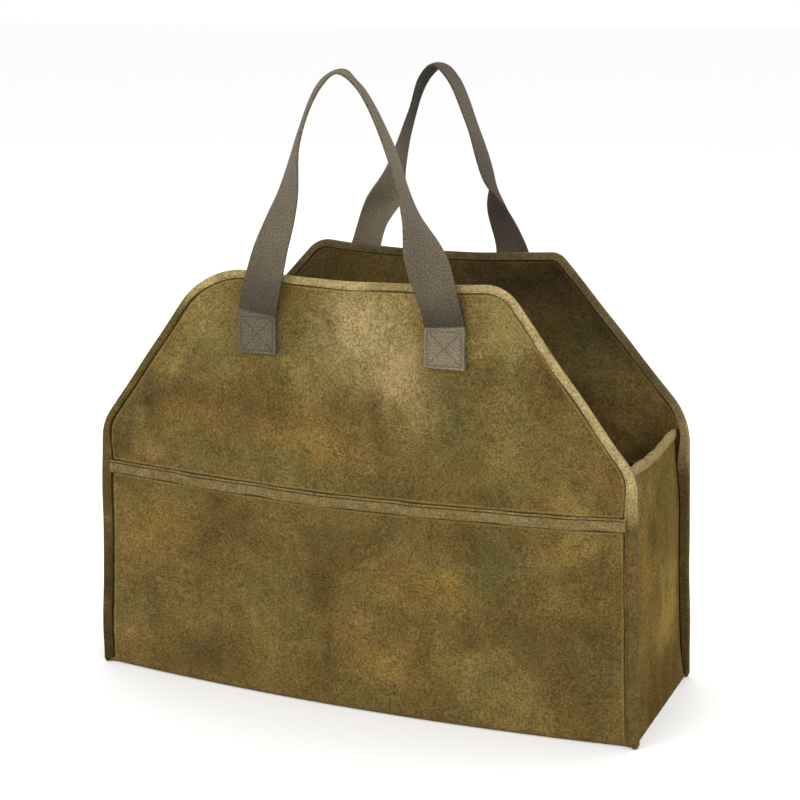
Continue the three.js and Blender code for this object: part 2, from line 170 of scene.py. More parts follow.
FRONT = Side(
    name="front", facing=-1, floor_bow=16 * MM, top_bow=2 * MM, lean=2 * MM,
    top=278 * MM, shoulder=0.0, shoulder_radius=45 * MM, left_radius=78 * MM, right_radius=32 * MM,
    spread=175 * MM, rise=210 * MM, bulge=16 * MM, phase=0.7, box_light_and_shade=(0.9, 1.5),
    # The last column of each row is the webbing's painted light and shade.
    loop=(
        Row(-1.0, 0.0, 0.0, 0, 0, 0.6, 0.42),
        Row(-0.82, 0.5, 0.25, 13, -13, 1.2, 0.98),
        Row(-0.59, 0.75, 0.5, 39, -15, 1.8, 1.05),
        Row(-0.44, 0.95, 0.75, 66, -19, 1.2, 1.15),
        Row(-0.21, 1.0, 0.95, 67, -9, 1.2, 1.15),
        Row(0.01, 1.0, 1.0, 68, -2, 1.2, 1.1),
        Row(0.21, 1.0, 0.95, 72, 0, 1.2, 1.1),
        Row(0.49, 0.95, 0.74, 78, 1, 1.2, 1.05),
        Row(0.725, 0.75, 0.445, 90, -1, 1.8, 1.0),
        Row(0.915, 0.5, 0.18, 170, 0, 1.2, 0.9),
        Row(1.0, 0.0, 0.0, 180, 0, 0.6, 0.38),
    ),
)
REAR = Side(
    name="rear", facing=1, floor_bow=8 * MM, top_bow=0.0, lean=15 * MM,
    top=245 * MM, shoulder=10 * MM, shoulder_radius=62 * MM, left_radius=26 * MM, right_radius=16 * MM,
    spread=161 * MM, rise=209 * MM, bulge=18 * MM, phase=2.9, box_light_and_shade=(1.0, 1.0),
    # The last column of each row is the webbing's painted light and shade.
    loop=(
        Row(-1.0, 0.0, 0.0, 180, 0, 1.0, 1.2),
        Row(-0.85, 0.75, 0.28, 186, 2, 9.0, 1.95),
        Row(-0.68, 0.9, 0.515, 104, -1, 4.5, 1.95),
        Row(-0.43, 0.75, 0.78, 80, 0, 2.0, 0.6),
        Row(-0.25, 0.65, 0.945, 85, 2, 2.0, 0.42),
        Row(-0.06, 0.6, 1.0, 90, 3, 2.0, 0.52),
        Row(0.12, 0.65, 0.945, 88, 3, 2.0, 0.74),
        Row(0.37, 0.75, 0.735, 85, 2, 2.0, 0.8),
        Row(0.59, 0.95, 0.51, 86, 1, 5.0, 0.7),
        Row(0.72, 1.0, 0.365, 40, 10, 8.0, 0.55),
        Row(0.865, 0.7, 0.2, 24, 4, 3.0, 0.78),
        Row(1.0, 0.0, 0.0, 0, 0, 1.0, 0.9),
    ),
)


@dataclass(frozen=True)
class Pattern:
    """The sizes that the cloth is cut and sewn to, and the forms that follow from them.

    The hollows are rows of: centre across, as a share of half the length; centre up, as a share
    of the panel's height; half width and half height, as shares of the same; depth, as a share of
    the seam allowance.
    """

    body_length: float = 500 * MM
    body_depth: float = 180 * MM
    canvas: float = 2 * MM
    gusset_height: float = 236 * MM
    seam_height: float = 198 * MM
    seam_sag: float = 6 * MM
    flap_height: float = 389 * MM
    top_sag: float = 6 * MM
    fold_radius: float = 5 * MM
    end_lean: float = 9 * MM
    end_bow: float = 4 * MM
    allowance: float = 12 * MM
    foot_corner: float = 4 * MM
    foot_flare: float = 5 * MM
    flare_height: float = 22 * MM
    end_swell: float = 4 * MM
    swell_top: float = 165 * MM
    hollow_fade: float = 36 * MM
    lean_power: float = 1.5
    gap: float = 0.3 * MM
    tape_wall: float = 1 * MM
    tape_depth: float = 9.5 * MM
    top_tape_depth: float = 5.5 * MM
    band_above: float = 3 * MM
    band_below: float = 7.5 * MM
    box_height: float = 34 * MM
    box_top: float = 350 * MM
    lower_hollows: tuple[tuple[float, ...], ...] = (
        (-0.3, 0.5, 0.55, 0.7, 0.3),
        (0.45, 0.55, 0.45, 0.6, 0.22),
        (0.85, 0.3, 0.2, 0.5, -0.12),
    )
    flap_hollows: tuple[tuple[float, ...], ...] = (
        (0.0, 0.45, 0.24, 0.5, 0.28),
        (-0.62, 0.3, 0.22, 0.35, -0.16),
        (0.62, 0.3, 0.22, 0.35, 0.2),
    )

    def end_face(self, z: Array | float) -> Array:
        """Gives how far out the end panels' outer faces lie at a height."""
        return self.body_length / 2 - self.end_lean * np.clip(z / self.gusset_height, 0, 1)

    def side_edge(self, z: Array | float) -> Array:
        """Gives how far out the front and rear cloth reaches at a height below the shoulder."""
        rise = np.clip(z / self.foot_corner, 0, 1)
        return self.end_face(z) + self.allowance - self.foot_corner * (1 - np.sqrt(1 - (1 - rise) ** 2))

    def flare(self, z: Array | float) -> Array:
        """Gives how far an end panel stands out of its seams at a height, most at its foot."""
        foot = self.foot_flare * np.exp(-((np.maximum(z, 0) / self.flare_height) ** 1.4))
        return foot + self.end_swell * (1 - smooth(z, self.swell_top, self.gusset_height - 12 * MM))

    def tape_reach(self, z: Array | float) -> Array:
        """Gives how far the folded tape reaches in from the edge at a height."""
        share = smooth(z, self.seam_height, self.gusset_height + self.tape_depth)
        return self.tape_depth + (self.top_tape_depth - self.tape_depth) * share

    def middling(self, x: Array, z: Array | float) -> Array:
        """Gives 1 in the middle of the length and 0 at the end panels."""
        return np.clip(1 - (x / self.end_face(z)) ** 2, 0, 1)

    def bow(self, side: Side, x: Array, z: Array | float) -> Array:
        """Gives how far a side bows out."""
        share = np.clip(z / self.flap_height, 0, 1)
        return (side.floor_bow + (side.top_bow - side.floor_bow) * share) * self.middling(x, z)

    def seam_line(self, x: Array) -> Array:
        """Gives the height of the level seam."""
        return self.seam_height - self.seam_sag * self.middling(x, self.seam_height)

    def top_edge(self, side: Side, x: Array | float) -> Array:
        """Gives the height of a flap's top edge."""
        return self.flap_height - self.top_sag * (1 - (2 * x / side.top) ** 2)

    def round_corner(self, before: Array, corner: Array, after: Array, radius: float) -> Array:
        """Rounds the corner between two straight runs.

        Args:
            before: a point on the first run.
            corner: where the runs would meet.
            after: a point on the second run.
            radius: radius of the arc.

        Returns:
            The points of the arc.
        """
        first = (before - corner) / np.linalg.norm(before - corner)
        second = (after - corner) / np.linalg.norm(after - corner)
        half = math.acos(float(first @ second)) / 2
        middle = (first + second) / np.linalg.norm(first + second)
        centre = corner + middle * radius / math.sin(half)
        start = corner + first * radius / math.tan(half) - centre
        end = corner + second * radius / math.tan(half) - centre
        begin = math.atan2(start[1], start[0])
        sweep = math.remainder(math.atan2(end[1], end[0]) - begin, 2 * math.pi)
        angles = begin + sweep * np.linspace(0, 1, 13)
        return centre + radius * np.stack([np.cos(angles), np.sin(angles)], axis=1)

    def half_outline(self, side: Side, radius: float) -> Array:
        """Gives half of a flap's outline.

        Args:
            side: the long side.
            radius: radius of its top corner.

        Returns:
            Rows of x and z from the right shoulder to the middle of the top edge.
        """
        height = self.gusset_height + side.shoulder
        shoulder = np.array([self.side_edge(height), height])
        corner = np.array([side.top / 2, self.flap_height])
        low = np.array([self.side_edge(self.seam_height), self.seam_height])
        inner = side.top / 2 - radius
        top = np.array([inner, self.top_edge(side, inner)])
        arcs = [
            self.round_corner(low, shoulder, corner, side.shoulder_radius),
            self.round_corner(shoulder, corner, top, radius),
        ]
        start, height = arcs[1][-1]
        level = np.linspace(start, 0, 20)[1:]
        rest = (height - self.top_edge(side, start)) * level / start
        return np.vstack([*arcs, np.stack([level, self.top_edge(side, level) + rest], axis=1)])

    def outline(self, side: Side) -> Array:
        """Gives a flap's outline from its left shoulder over the top to its right one."""
        left, right = (self.half_outline(side, radius) for radius in (side.left_radius, side.right_radius))
        return np.vstack([left[:-1] * [-1, 1], right[::-1]])

    def cloth_top(self, side: Side, x: Array) -> Array:
        """Gives the height of a side's cloth at a distance from the middle, near its shoulders."""
        edge = self.half_outline(side, side.right_radius)[::-1]
        return np.interp(x, edge[:, 0], edge[:, 1])

    def hollow(
        self, side: Side, rows: Sequence[Sequence[float]], x: Array, z: Array, foot: float, head: float
    ) -> Array:
        """Gives how far a panel is pushed in, fading out towards its edges.

        Args:
            side: the long side.
            rows: the panel's hollows.
            x: places along the carrier.
            z: heights.
            foot: height of the panel's lower edge.
            head: height of its upper edge.

        Returns:
            The push at each place.
        """
        run = (self.body_length - side.top) / 2 / (self.flap_height - self.gusset_height - side.shoulder)
        side_gap = self.body_length / 2 - np.abs(x)
        slope_gap = side.top / 2 + (self.flap_height - z) * run - np.abs(x)
        gap = np.minimum(np.minimum(z - foot, head - z), np.where(z > self.seam_height, slope_gap, side_gap))
        half, height, push = self.body_length / 2, head - foot, np.zeros_like(x)
        for across, up, wide, tall, deep in rows:
            distance = np.hypot((x / half - across) / wide, ((z - foot) / height - up) / tall)
            push += deep * self.allowance * (0.5 + 0.5 * np.cos(math.pi * np.clip(distance, 0, 1)))
        return push * smooth(gap, 0, self.hollow_fade)

    def skin(self, side: Side, x: Array, z: Array, outwards: Array | float = 0.0) -> Array:
        """Gives Y of a side's cloth.

        Args:
            side: the long side.
            x: places along the carrier.
            z: heights.
            outwards: distance from the cloth's outer face.

        Returns:
            Y at each place.
        """
        above = np.clip((z - self.seam_height) / (self.flap_height - self.seam_height), 0, 1)
        lower = self.hollow(side, self.lower_hollows, x, z, 0, self.seam_height)
        upper = self.hollow(
            side, self.flap_hollows, x, z, self.seam_height, self.flap_height - self.top_sag
        )
        push = np.where(z < self.seam_height, lower, upper)
        swell = side.lean * above**self.lean_power + self.bow(side, x, z)
        waves = slow_waves(x, z, side.phase) * smooth(z, 0, self.hollow_fade)
        return side.facing * (self.body_depth / 2 + swell + waves - push + outwards)


CUT = Pattern()


def slow_waves(x: Array, z: Array, phase: float) -> Array:
    """Gives the slow unevenness of the cloth, shared by all that lies on it.

    Args:
        x: places along the carrier.
        z: heights.
        phase: start of the waves, different on each side.

    Returns:
        The height of the waves, in metres.
    """
    rows = ((0.23, 0.2, 0.9), (0.14, 1.3, 0.6), (0.095, -0.6, 0.35), (0.062, 0.5, 0.2))
    total = np.zeros_like(x)
    for number, (length, angle, height) in enumerate(rows, start=1):
        along = x * math.cos(angle) + z * math.sin(angle)
        total += height * MM * np.sin(2 * math.pi * along / length + phase * number * 1.7)
    return total


def crumple(x: Array, z: Array, phase: float) -> Array:
    """Gives the finer crumple of a panel, in irregular patches.

    Args:
        x: places along the panel.
        z: places up it.
        phase: start of the waves, different on each panel.

    Returns:
        The height of the crumple, in metres.
    """
    rows = ((0.047, 0.9, 0.3), (0.036, -0.8, 0.24), (0.029, 2.2, 0.2), (0.021, 0.3, 0.13), (0.017, -1.4, 0.1))
    total = np.zeros_like(x)
    for number, (length, angle, height) in enumerate(rows, start=1):
        bent = angle + 0.6 * np.sin(13 * x + 7 * z + number + phase)
        along = x * np.cos(bent) + z * np.sin(bent)
        patch = 0.5 + 0.5 * np.sin(31 * x * math.cos(number) + 27 * z * math.sin(number) + phase + number)
        total += height * MM * patch * np.sin(2 * math.pi * along / length + phase * number)
    return total


def pucker(x: Array, z: Array, rim: Array, phase: float) -> Array:
    """Gives the small gathers along a bound edge.

    Args:
        x: places along the panel.
        z: places up it.
        rim: distance from the inner edge of the tape.
        phase: start of the waves.

    Returns:
        The height of the gathers, in metres.
    """
    wave = np.sin(2 * math.pi * (x + 0.8 * z) / 0.017 + 3 * np.sin(23 * x + phase))
    dip = -0.5 * MM * np.exp(-((rim / (2.2 * MM)) ** 2))
    return 0.22 * MM * wave * np.exp(-np.abs(rim) / 0.014) * smooth(rim, -CUT.tape_depth, 0) + dip


def lengths_along(line: Array) -> Array:
    """Gives how far each point of a line lies from its first one, along the line."""
    return np.concatenate([[0], np.cumsum(np.linalg.norm(np.diff(line, axis=0), axis=1))])


def uneven(x: Array, z: Array, rim: Array, crumple_phase: float, pucker_phase: float) -> Array:
    """Gives the crumple and the gathers of a bound panel together.

    Args:
        x: places along the panel.
        z: places up it.
        rim: distance from the inner edge of the tape.
        crumple_phase: start of the crumple's waves.
        pucker_phase: start of the gathers' waves.

    Returns:
        Their height, in metres.
    """
    return crumple(x, z, crumple_phase) * smooth(rim, 0, 20 * MM) + pucker(x, z, rim, pucker_phase)


def distance_to(line: Array, x: Array, z: Array) -> Array:
    """Gives the distance of points from a line of points.

    Args:
        line: the line, as rows of x and z.
        x: the points' x.
        z: the points' z.

    Returns:
        Each point's distance.
    """
    lengths = lengths_along(line)
    fine = np.linspace(0, lengths[-1], round(lengths[-1] / MM))
    dense = np.stack([np.interp(fine, lengths, line[:, k]) for k in (0, 1)], axis=1)
    near = np.full(x.shape, np.inf)
    for block in np.array_split(dense, 16):
        gaps = np.hypot(x[:, None] - block[:, 0], z[:, None] - block[:, 1])
        near = np.minimum(near, gaps.min(axis=1))
    return near


def lay(
    name: str, across: Array, along: Array, place: Callable[[Array, Array], Array],
    flat: Callable[[Array, Array], Array],
) -> bpy.types.Object:
    """Adds a grid and lays each of its points in place, as cloth is laid over a form.

    Args:
        name: name of the piece.
        across: rising places across the grid.
        along: rising places along it.
        place: gives the points, as rows of x, y and z, for the two places of each.
        flat: gives where they lie on the flat cloth, as rows of two lengths in metres.

    Returns:
        The piece, with its flat places as its UV map.
    """
    bpy.ops.object.select_all(action="DESELECT")
    bpy.ops.mesh.primitive_grid_add(x_subdivisions=len(across) - 1, y_subdivisions=len(along) - 1, size=2)
    piece = bpy.context.active_object
    piece.name = piece.data.name = name
    mesh = piece.data
    corners = np.empty(len(mesh.vertices) * 3)
    mesh.vertices.foreach_get("co", corners)
    corners = corners.reshape(-1, 3)
    columns = np.rint((corners[:, 0] + 1) / 2 * (len(across) - 1)).astype(int)
    rows = np.rint((corners[:, 1] + 1) / 2 * (len(along) - 1)).astype(int)
    u, v = across[columns], along[rows]
    mesh.vertices.foreach_set("co", place(u, v).ravel())
    loops = np.empty(len(mesh.loops), dtype=np.int32)
    mesh.loops.foreach_get("vertex_index", loops)
    mesh.uv_layers.active.data.foreach_set("uv", flat(u, v)[loops].ravel())
    mesh.update()
    return piece


def paint(piece: bpy.types.Object, name: str, values: Array) -> None:
    """Stores one value for each point of a piece, for its finish to read."""
    piece.data.attributes.new(name, "FLOAT", "POINT").data.foreach_set("value", values.astype(np.float32))


def points_of(piece: bpy.types.Object) -> Array:
    """Reads the points of a piece.

    Args:
        piece: the piece.

    Returns:
        Rows of x, y and z.
    """
    corners = np.empty(len(piece.data.vertices) * 3)
    piece.data.vertices.foreach_get("co", corners)
    return corners.reshape(-1, 3)


def thicken(piece: bpy.types.Object, wall: float, offset: float) -> None:
    """Gives a laid sheet its thickness, applied to its mesh, and smooths it.

    Args:
        piece: the sheet.
        wall: its thickness.
        offset: -1 for a wall behind the laid face, 0 for one on both sides of it.
    """
    bpy.context.view_layer.objects.active = piece
    piece.select_set(True)
    solidify = piece.modifiers.new("wall", "SOLIDIFY")
    solidify.thickness = wall
    solidify.offset = offset
    bpy.ops.object.modifier_apply(modifier=solidify.name)
    if offset == 0:
        bpy.ops.object.mode_set(mode="EDIT")
        bpy.ops.mesh.select_all(action="SELECT")
        bpy.ops.mesh.normals_make_consistent(inside=False)
        bpy.ops.object.mode_set(mode="OBJECT")
    bpy.ops.object.shade_smooth_by_angle(angle=math.radians(50))
    piece.select_set(False)


def mark_inside(piece: bpy.types.Object) -> None:
    """Paints 1 on the back layer of a sheet, whose points come after the face's, for the painted shade."""
    count = len(piece.data.vertices)
    paint(piece, "inside", (np.arange(count) >= count // 2) * 1.0)


def settle(piece: bpy.types.Object, slot: Slot, finish: bpy.types.Material, *nodes: str) -> None:
    """Dresses a finished piece and gives it its place in the frame.

    Args:
        piece: the piece.
        slot: the record's slot; not used.
        finish: its material.
        nodes: the solids that it replaces.
    """
    piece.data.materials.clear()
    piece.data.materials.append(finish)
    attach(piece, "root")
    if nodes:
        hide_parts(*nodes)
    log.info("%s: %d faces", piece.name, len(piece.data.polygons))


class Wire:
    """An output in a shader. Arithmetic on it adds Math nodes."""

    def __init__(self, shader: "Shader", socket: bpy.types.NodeSocket) -> None:
        """Keeps the shader and the output socket."""
        self.shader = shader
        self.socket = socket

    def _math(self, operation: str, *values: "Wire | float") -> "Wire":
        """Adds one Math node."""
        return self.shader.add("ShaderNodeMath", {"operation": operation}, dict(enumerate(values)))

    def __add__(self, other: "Wire | float") -> "Wire":
        """Adds."""
        return self._math("ADD", self, other)

    def __radd__(self, other: float) -> "Wire":
        """Adds to a number."""
        return self._math("ADD", other, self)

    def __sub__(self, other: "Wire | float") -> "Wire":
        """Subtracts."""
        return self._math("SUBTRACT", self, other)

    def __rsub__(self, other: float) -> "Wire":
        """Subtracts from a number."""
        return self._math("SUBTRACT", other, self)

    def __mul__(self, other: "Wire | float") -> "Wire":
        """Multiplies."""
        return self._math("MULTIPLY", self, other)

    def __rmul__(self, other: float) -> "Wire":
        """Multiplies a number."""
        return self._math("MULTIPLY", other, self)

    def sine(self) -> "Wire":
        """Gives the sine."""
        return self._math("SINE", self)

    def above(self, floor: float) -> "Wire":
        """Gives the value, but never less than a floor."""
        return self._math("MAXIMUM", self, floor)

    def size(self) -> "Wire":
        """Gives the value without its sign."""
        return self._math("ABSOLUTE", self)

    def rise(self, low: float, high: float) -> "Wire":
        """Rises smoothly from 0 at low to 1 at high, or falls where low is the larger.

        Args:
            low: value that gives 0.
            high: value that gives 1.

        Returns:
            The share, from 0 to 1.
        """
        if low > high:
            return 1 - self.rise(high, low)
        inputs = {"Value": self, "From Min": low, "From Max": high}
        return self.shader.add("ShaderNodeMapRange", {"interpolation_type": "SMOOTHSTEP"}, inputs)


class Shader:
    """A material whose nodes are added one by one."""

    def __init__(self, name: str) -> None:
        """Starts a material with a Principled surface.

        Args:
            name: name of the material.
        """
        self.material = bpy.data.materials.new(name)
        self.material.use_nodes = True
        self.tree = self.material.node_tree
        self.surface = self.tree.nodes["Principled BSDF"]
        self.place = self.add("ShaderNodeTexCoord", output="Object")
        self.flat = self.add("ShaderNodeTexCoord", output="UV")

    def add(
        self, kind: str, settings: Mapping[str, Any] | None = None,
        inputs: Mapping[str | int, Any] | None = None, output: str | int = 0,
    ) -> Wire:
        """Adds a node.

        Args:
            kind: its type.
            settings: its own settings. The stops of a ramp are pairs of a place and a colour.
            inputs: values or links of its sockets, by name or number.
            output: the socket that is wanted.

        Returns:
            That socket's wire.
        """
        node = self.tree.nodes.new(kind)
        for key, value in (settings or {}).items():
            if key == "stops":
                while len(node.color_ramp.elements) < len(value):
                    node.color_ramp.elements.new(1.0)
                for element, (position, colour) in zip(node.color_ramp.elements, value):
                    element.position, element.color = position, colour
            else:
                setattr(node, key, value)
        for key, value in (inputs or {}).items():
            if isinstance(value, Wire):
                self.tree.links.new(value.socket, node.inputs[key])
            else:
                node.inputs[key].default_value = value
        return Wire(self, node.outputs[output])

    def noise(
        self, scale: float, detail: float = 2.0, roughness: float = 0.5, place: Wire | None = None
    ) -> Wire:
        """Adds a noise of about so many spots a metre, from 0 to 1."""
        inputs = {"Vector": place or self.place, "Scale": scale, "Detail": detail, "Roughness": roughness}
        return self.add("ShaderNodeTexNoise", None, inputs)

    def moved(self, place: Wire, offset: Place, stretch: Place = (1.0, 1.0, 1.0)) -> Wire:
        """Moves and stretches a pattern's places."""
        return self.add("ShaderNodeMapping", None, {"Vector": place, "Location": offset, "Scale": stretch})

    def warped(self, scale: float, reach: float) -> Wire:
        """Bends the places of a pattern with a slow noise.

        Args:
            scale: how many bends there are in a metre.
            reach: how far a place moves at most, in metres.

        Returns:
            The bent places.
        """
        inputs = {"Vector": self.place, "Scale": scale, "Detail": 2.0}
        drift = self.add("ShaderNodeTexNoise", None, inputs, "Color")
        centred = self.vector("SUBTRACT", drift, (0.5, 0.5, 0.5))
        return self.vector("ADD", self.place, self.scaled(centred, reach * 2))

    def vector(self, operation: str, first: Wire, second: Wire | Place) -> Wire:
        """Adds one Vector Math node on two vectors."""
        return self.add("ShaderNodeVectorMath", {"operation": operation}, {0: first, 1: second})

    def scaled(self, vector: Wire, factor: float) -> Wire:
        """Makes a vector longer or shorter."""
        return self.add("ShaderNodeVectorMath", {"operation": "SCALE"}, {0: vector, "Scale": factor})

    def part(self, vector: Wire, axis: str) -> Wire:
        """Gives one part of a vector."""
        return self.add("ShaderNodeSeparateXYZ", None, {0: vector}, axis)

    def mix(
        self, share: Wire | float, first: Wire | Colour, second: Wire | Colour, blend: str = "MIX"
    ) -> Wire:
        """Mixes two colours."""
        settings = {"data_type": "RGBA", "blend_type": blend}
        return self.add("ShaderNodeMix", settings, {0: share, 6: first, 7: second}, 2)

    def shaded(self, colour: Wire, brightness: Wire) -> Wire:
        """Multiplies a colour by a brightness."""
        return self.mix(1.0, colour, brightness, "MULTIPLY")

    def attribute(self, name: str) -> Wire:
        """Reads a value that is painted on the piece."""
        return self.add("ShaderNodeAttribute", {"attribute_name": name}, None, "Fac")

    def finish(
        self, colour: Wire, roughness: Wire | float, height: Wire, relief: float, sheen: float, gloss: float
    ) -> bpy.types.Material:
        """Feeds the surface.

        Args:
            colour: its colour.
            roughness: its roughness.
            height: relief, from about 0 to 1.
            relief: height of that relief, in metres.
            sheen: weight of the cloth's sheen.
            gloss: its specular level.

        Returns:
            The finished material.
        """
        bump = {"Strength": 1.0, "Distance": relief, "Height": height}
        normal = self.add("ShaderNodeBump", None, bump, "Normal")
        inputs = self.surface.inputs
        for key, value in (("Base Color", colour), ("Roughness", roughness), ("Normal", normal)):
            if isinstance(value, Wire):
                self.tree.links.new(value.socket, inputs[key])
            else:
                inputs[key].default_value = value
        inputs["Specular IOR Level"].default_value = gloss
        inputs["Sheen Weight"].default_value = sheen
        inputs["Sheen Roughness"].default_value = 0.5
        return self.material


@dataclass(frozen=True)
class Patch:
    """A lighter, darker or tinted patch in the dye of the canvas.

    radii are its half sizes, and share how far its tint covers the ground.
    """

    place: Place
    radii: Place
    tint: Colour
    share: float


PALE = srgb(152, 133, 90)
KHAKI = srgb(124, 110, 64)
GOLD = srgb(120, 95, 44)
MOSS = srgb(78, 74, 42)
UMBER = srgb(74, 59, 30)
RUSSET = srgb(101, 79, 45)
SOOT = srgb(44, 36, 20)
PATCH_DEPTH = 40 * MM


def chart(y: float, rows: Sequence[tuple[float, float, float, float, Colour, float]]) -> tuple[Patch, ...]:
    """Charts the patches of one long side.

    Args:
        y: place of its cloth, in millimetres.
        rows: places along and up, half widths and half heights, in millimetres, tints and shares.

    Returns:
        The patches.
    """
    return tuple(
        Patch((x * MM, y * MM, z * MM), (wide * MM, PATCH_DEPTH, tall * MM), tint, share)
        for x, z, wide, tall, tint, share in rows
    )


FRONT_PATCHES = chart(-95, (
    (12, 335, 60, 62, PALE, 0.85),
    (52, 300, 46, 44, PALE, 0.6),
    (-28, 300, 60, 40, KHAKI, 0.5),
    (137, 352, 36, 58, KHAKI, 0.75),
    (-133, 345, 40, 50, KHAKI, 0.55),
    (-200, 272, 64, 46, SOOT, 0.65),
    (-150, 262, 70, 44, UMBER, 0.5),
    (-240, 236, 34, 30, SOOT, 0.5),
    (-47, 239, 50, 34, GOLD, 0.6),
    (-160, 250, 50, 30, GOLD, 0.45),
    (-90, 272, 42, 34, UMBER, 0.5),
    (98, 275, 38, 62, MOSS, 0.55),
    (145, 262, 34, 60, KHAKI, 0.35),
    (218, 224, 44, 40, RUSSET, 0.6),
    (52, 240, 30, 26, RUSSET, 0.4),
    (-205, 152, 50, 40, GOLD, 0.5),
    (-103, 92, 34, 28, MOSS, 0.45),
    (-207, 58, 26, 38, MOSS, 0.45),
    (34, 166, 34, 18, MOSS, 0.4),
    (140, 148, 50, 44, MOSS, 0.6),
    (80, 124, 46, 32, GOLD, 0.5),
    (215, 152, 32, 26, UMBER, 0.45),
    (104, 78, 38, 26, UMBER, 0.4),
    (228, 62, 42, 66, UMBER, 0.5),
    (33, 38, 28, 30, GOLD, 0.4),
    (60, 12, 70, 22, UMBER, 0.35),
    (190, 88, 96, 88, UMBER, 0.7),
    (-20, 215, 200, 26, MOSS, 0.35),
))
REAR_PATCHES = chart(98, (
    (95, 368, 80, 34, SOOT, 0.8),
    (-70, 352, 60, 34, GOLD, 0.6),
    (140, 296, 44, 30, KHAKI, 0.5),
    (205, 262, 40, 26, KHAKI, 0.4),
    (154, 318, 44, 34, MOSS, 0.4),
    (172, 280, 30, 26, KHAKI, 0.3),
    (195, 236, 44, 34, RUSSET, 0.45),
))
END_PATCHES = tuple(
    Patch((end.value * CUT.body_length / 2, y * MM, z * MM), (PATCH_DEPTH, deep * MM, tall * MM), tint, share)
    for end in End
    for y, z, deep, tall, tint, share in (
        (0, 18, 90, 46, UMBER, 0.75),
        (-40, 150, 30, 70, GOLD, 0.5),
        (30, 95, 36, 50, GOLD, 0.4),
        (50, 190, 40, 50, MOSS, 0.4),
    )
)


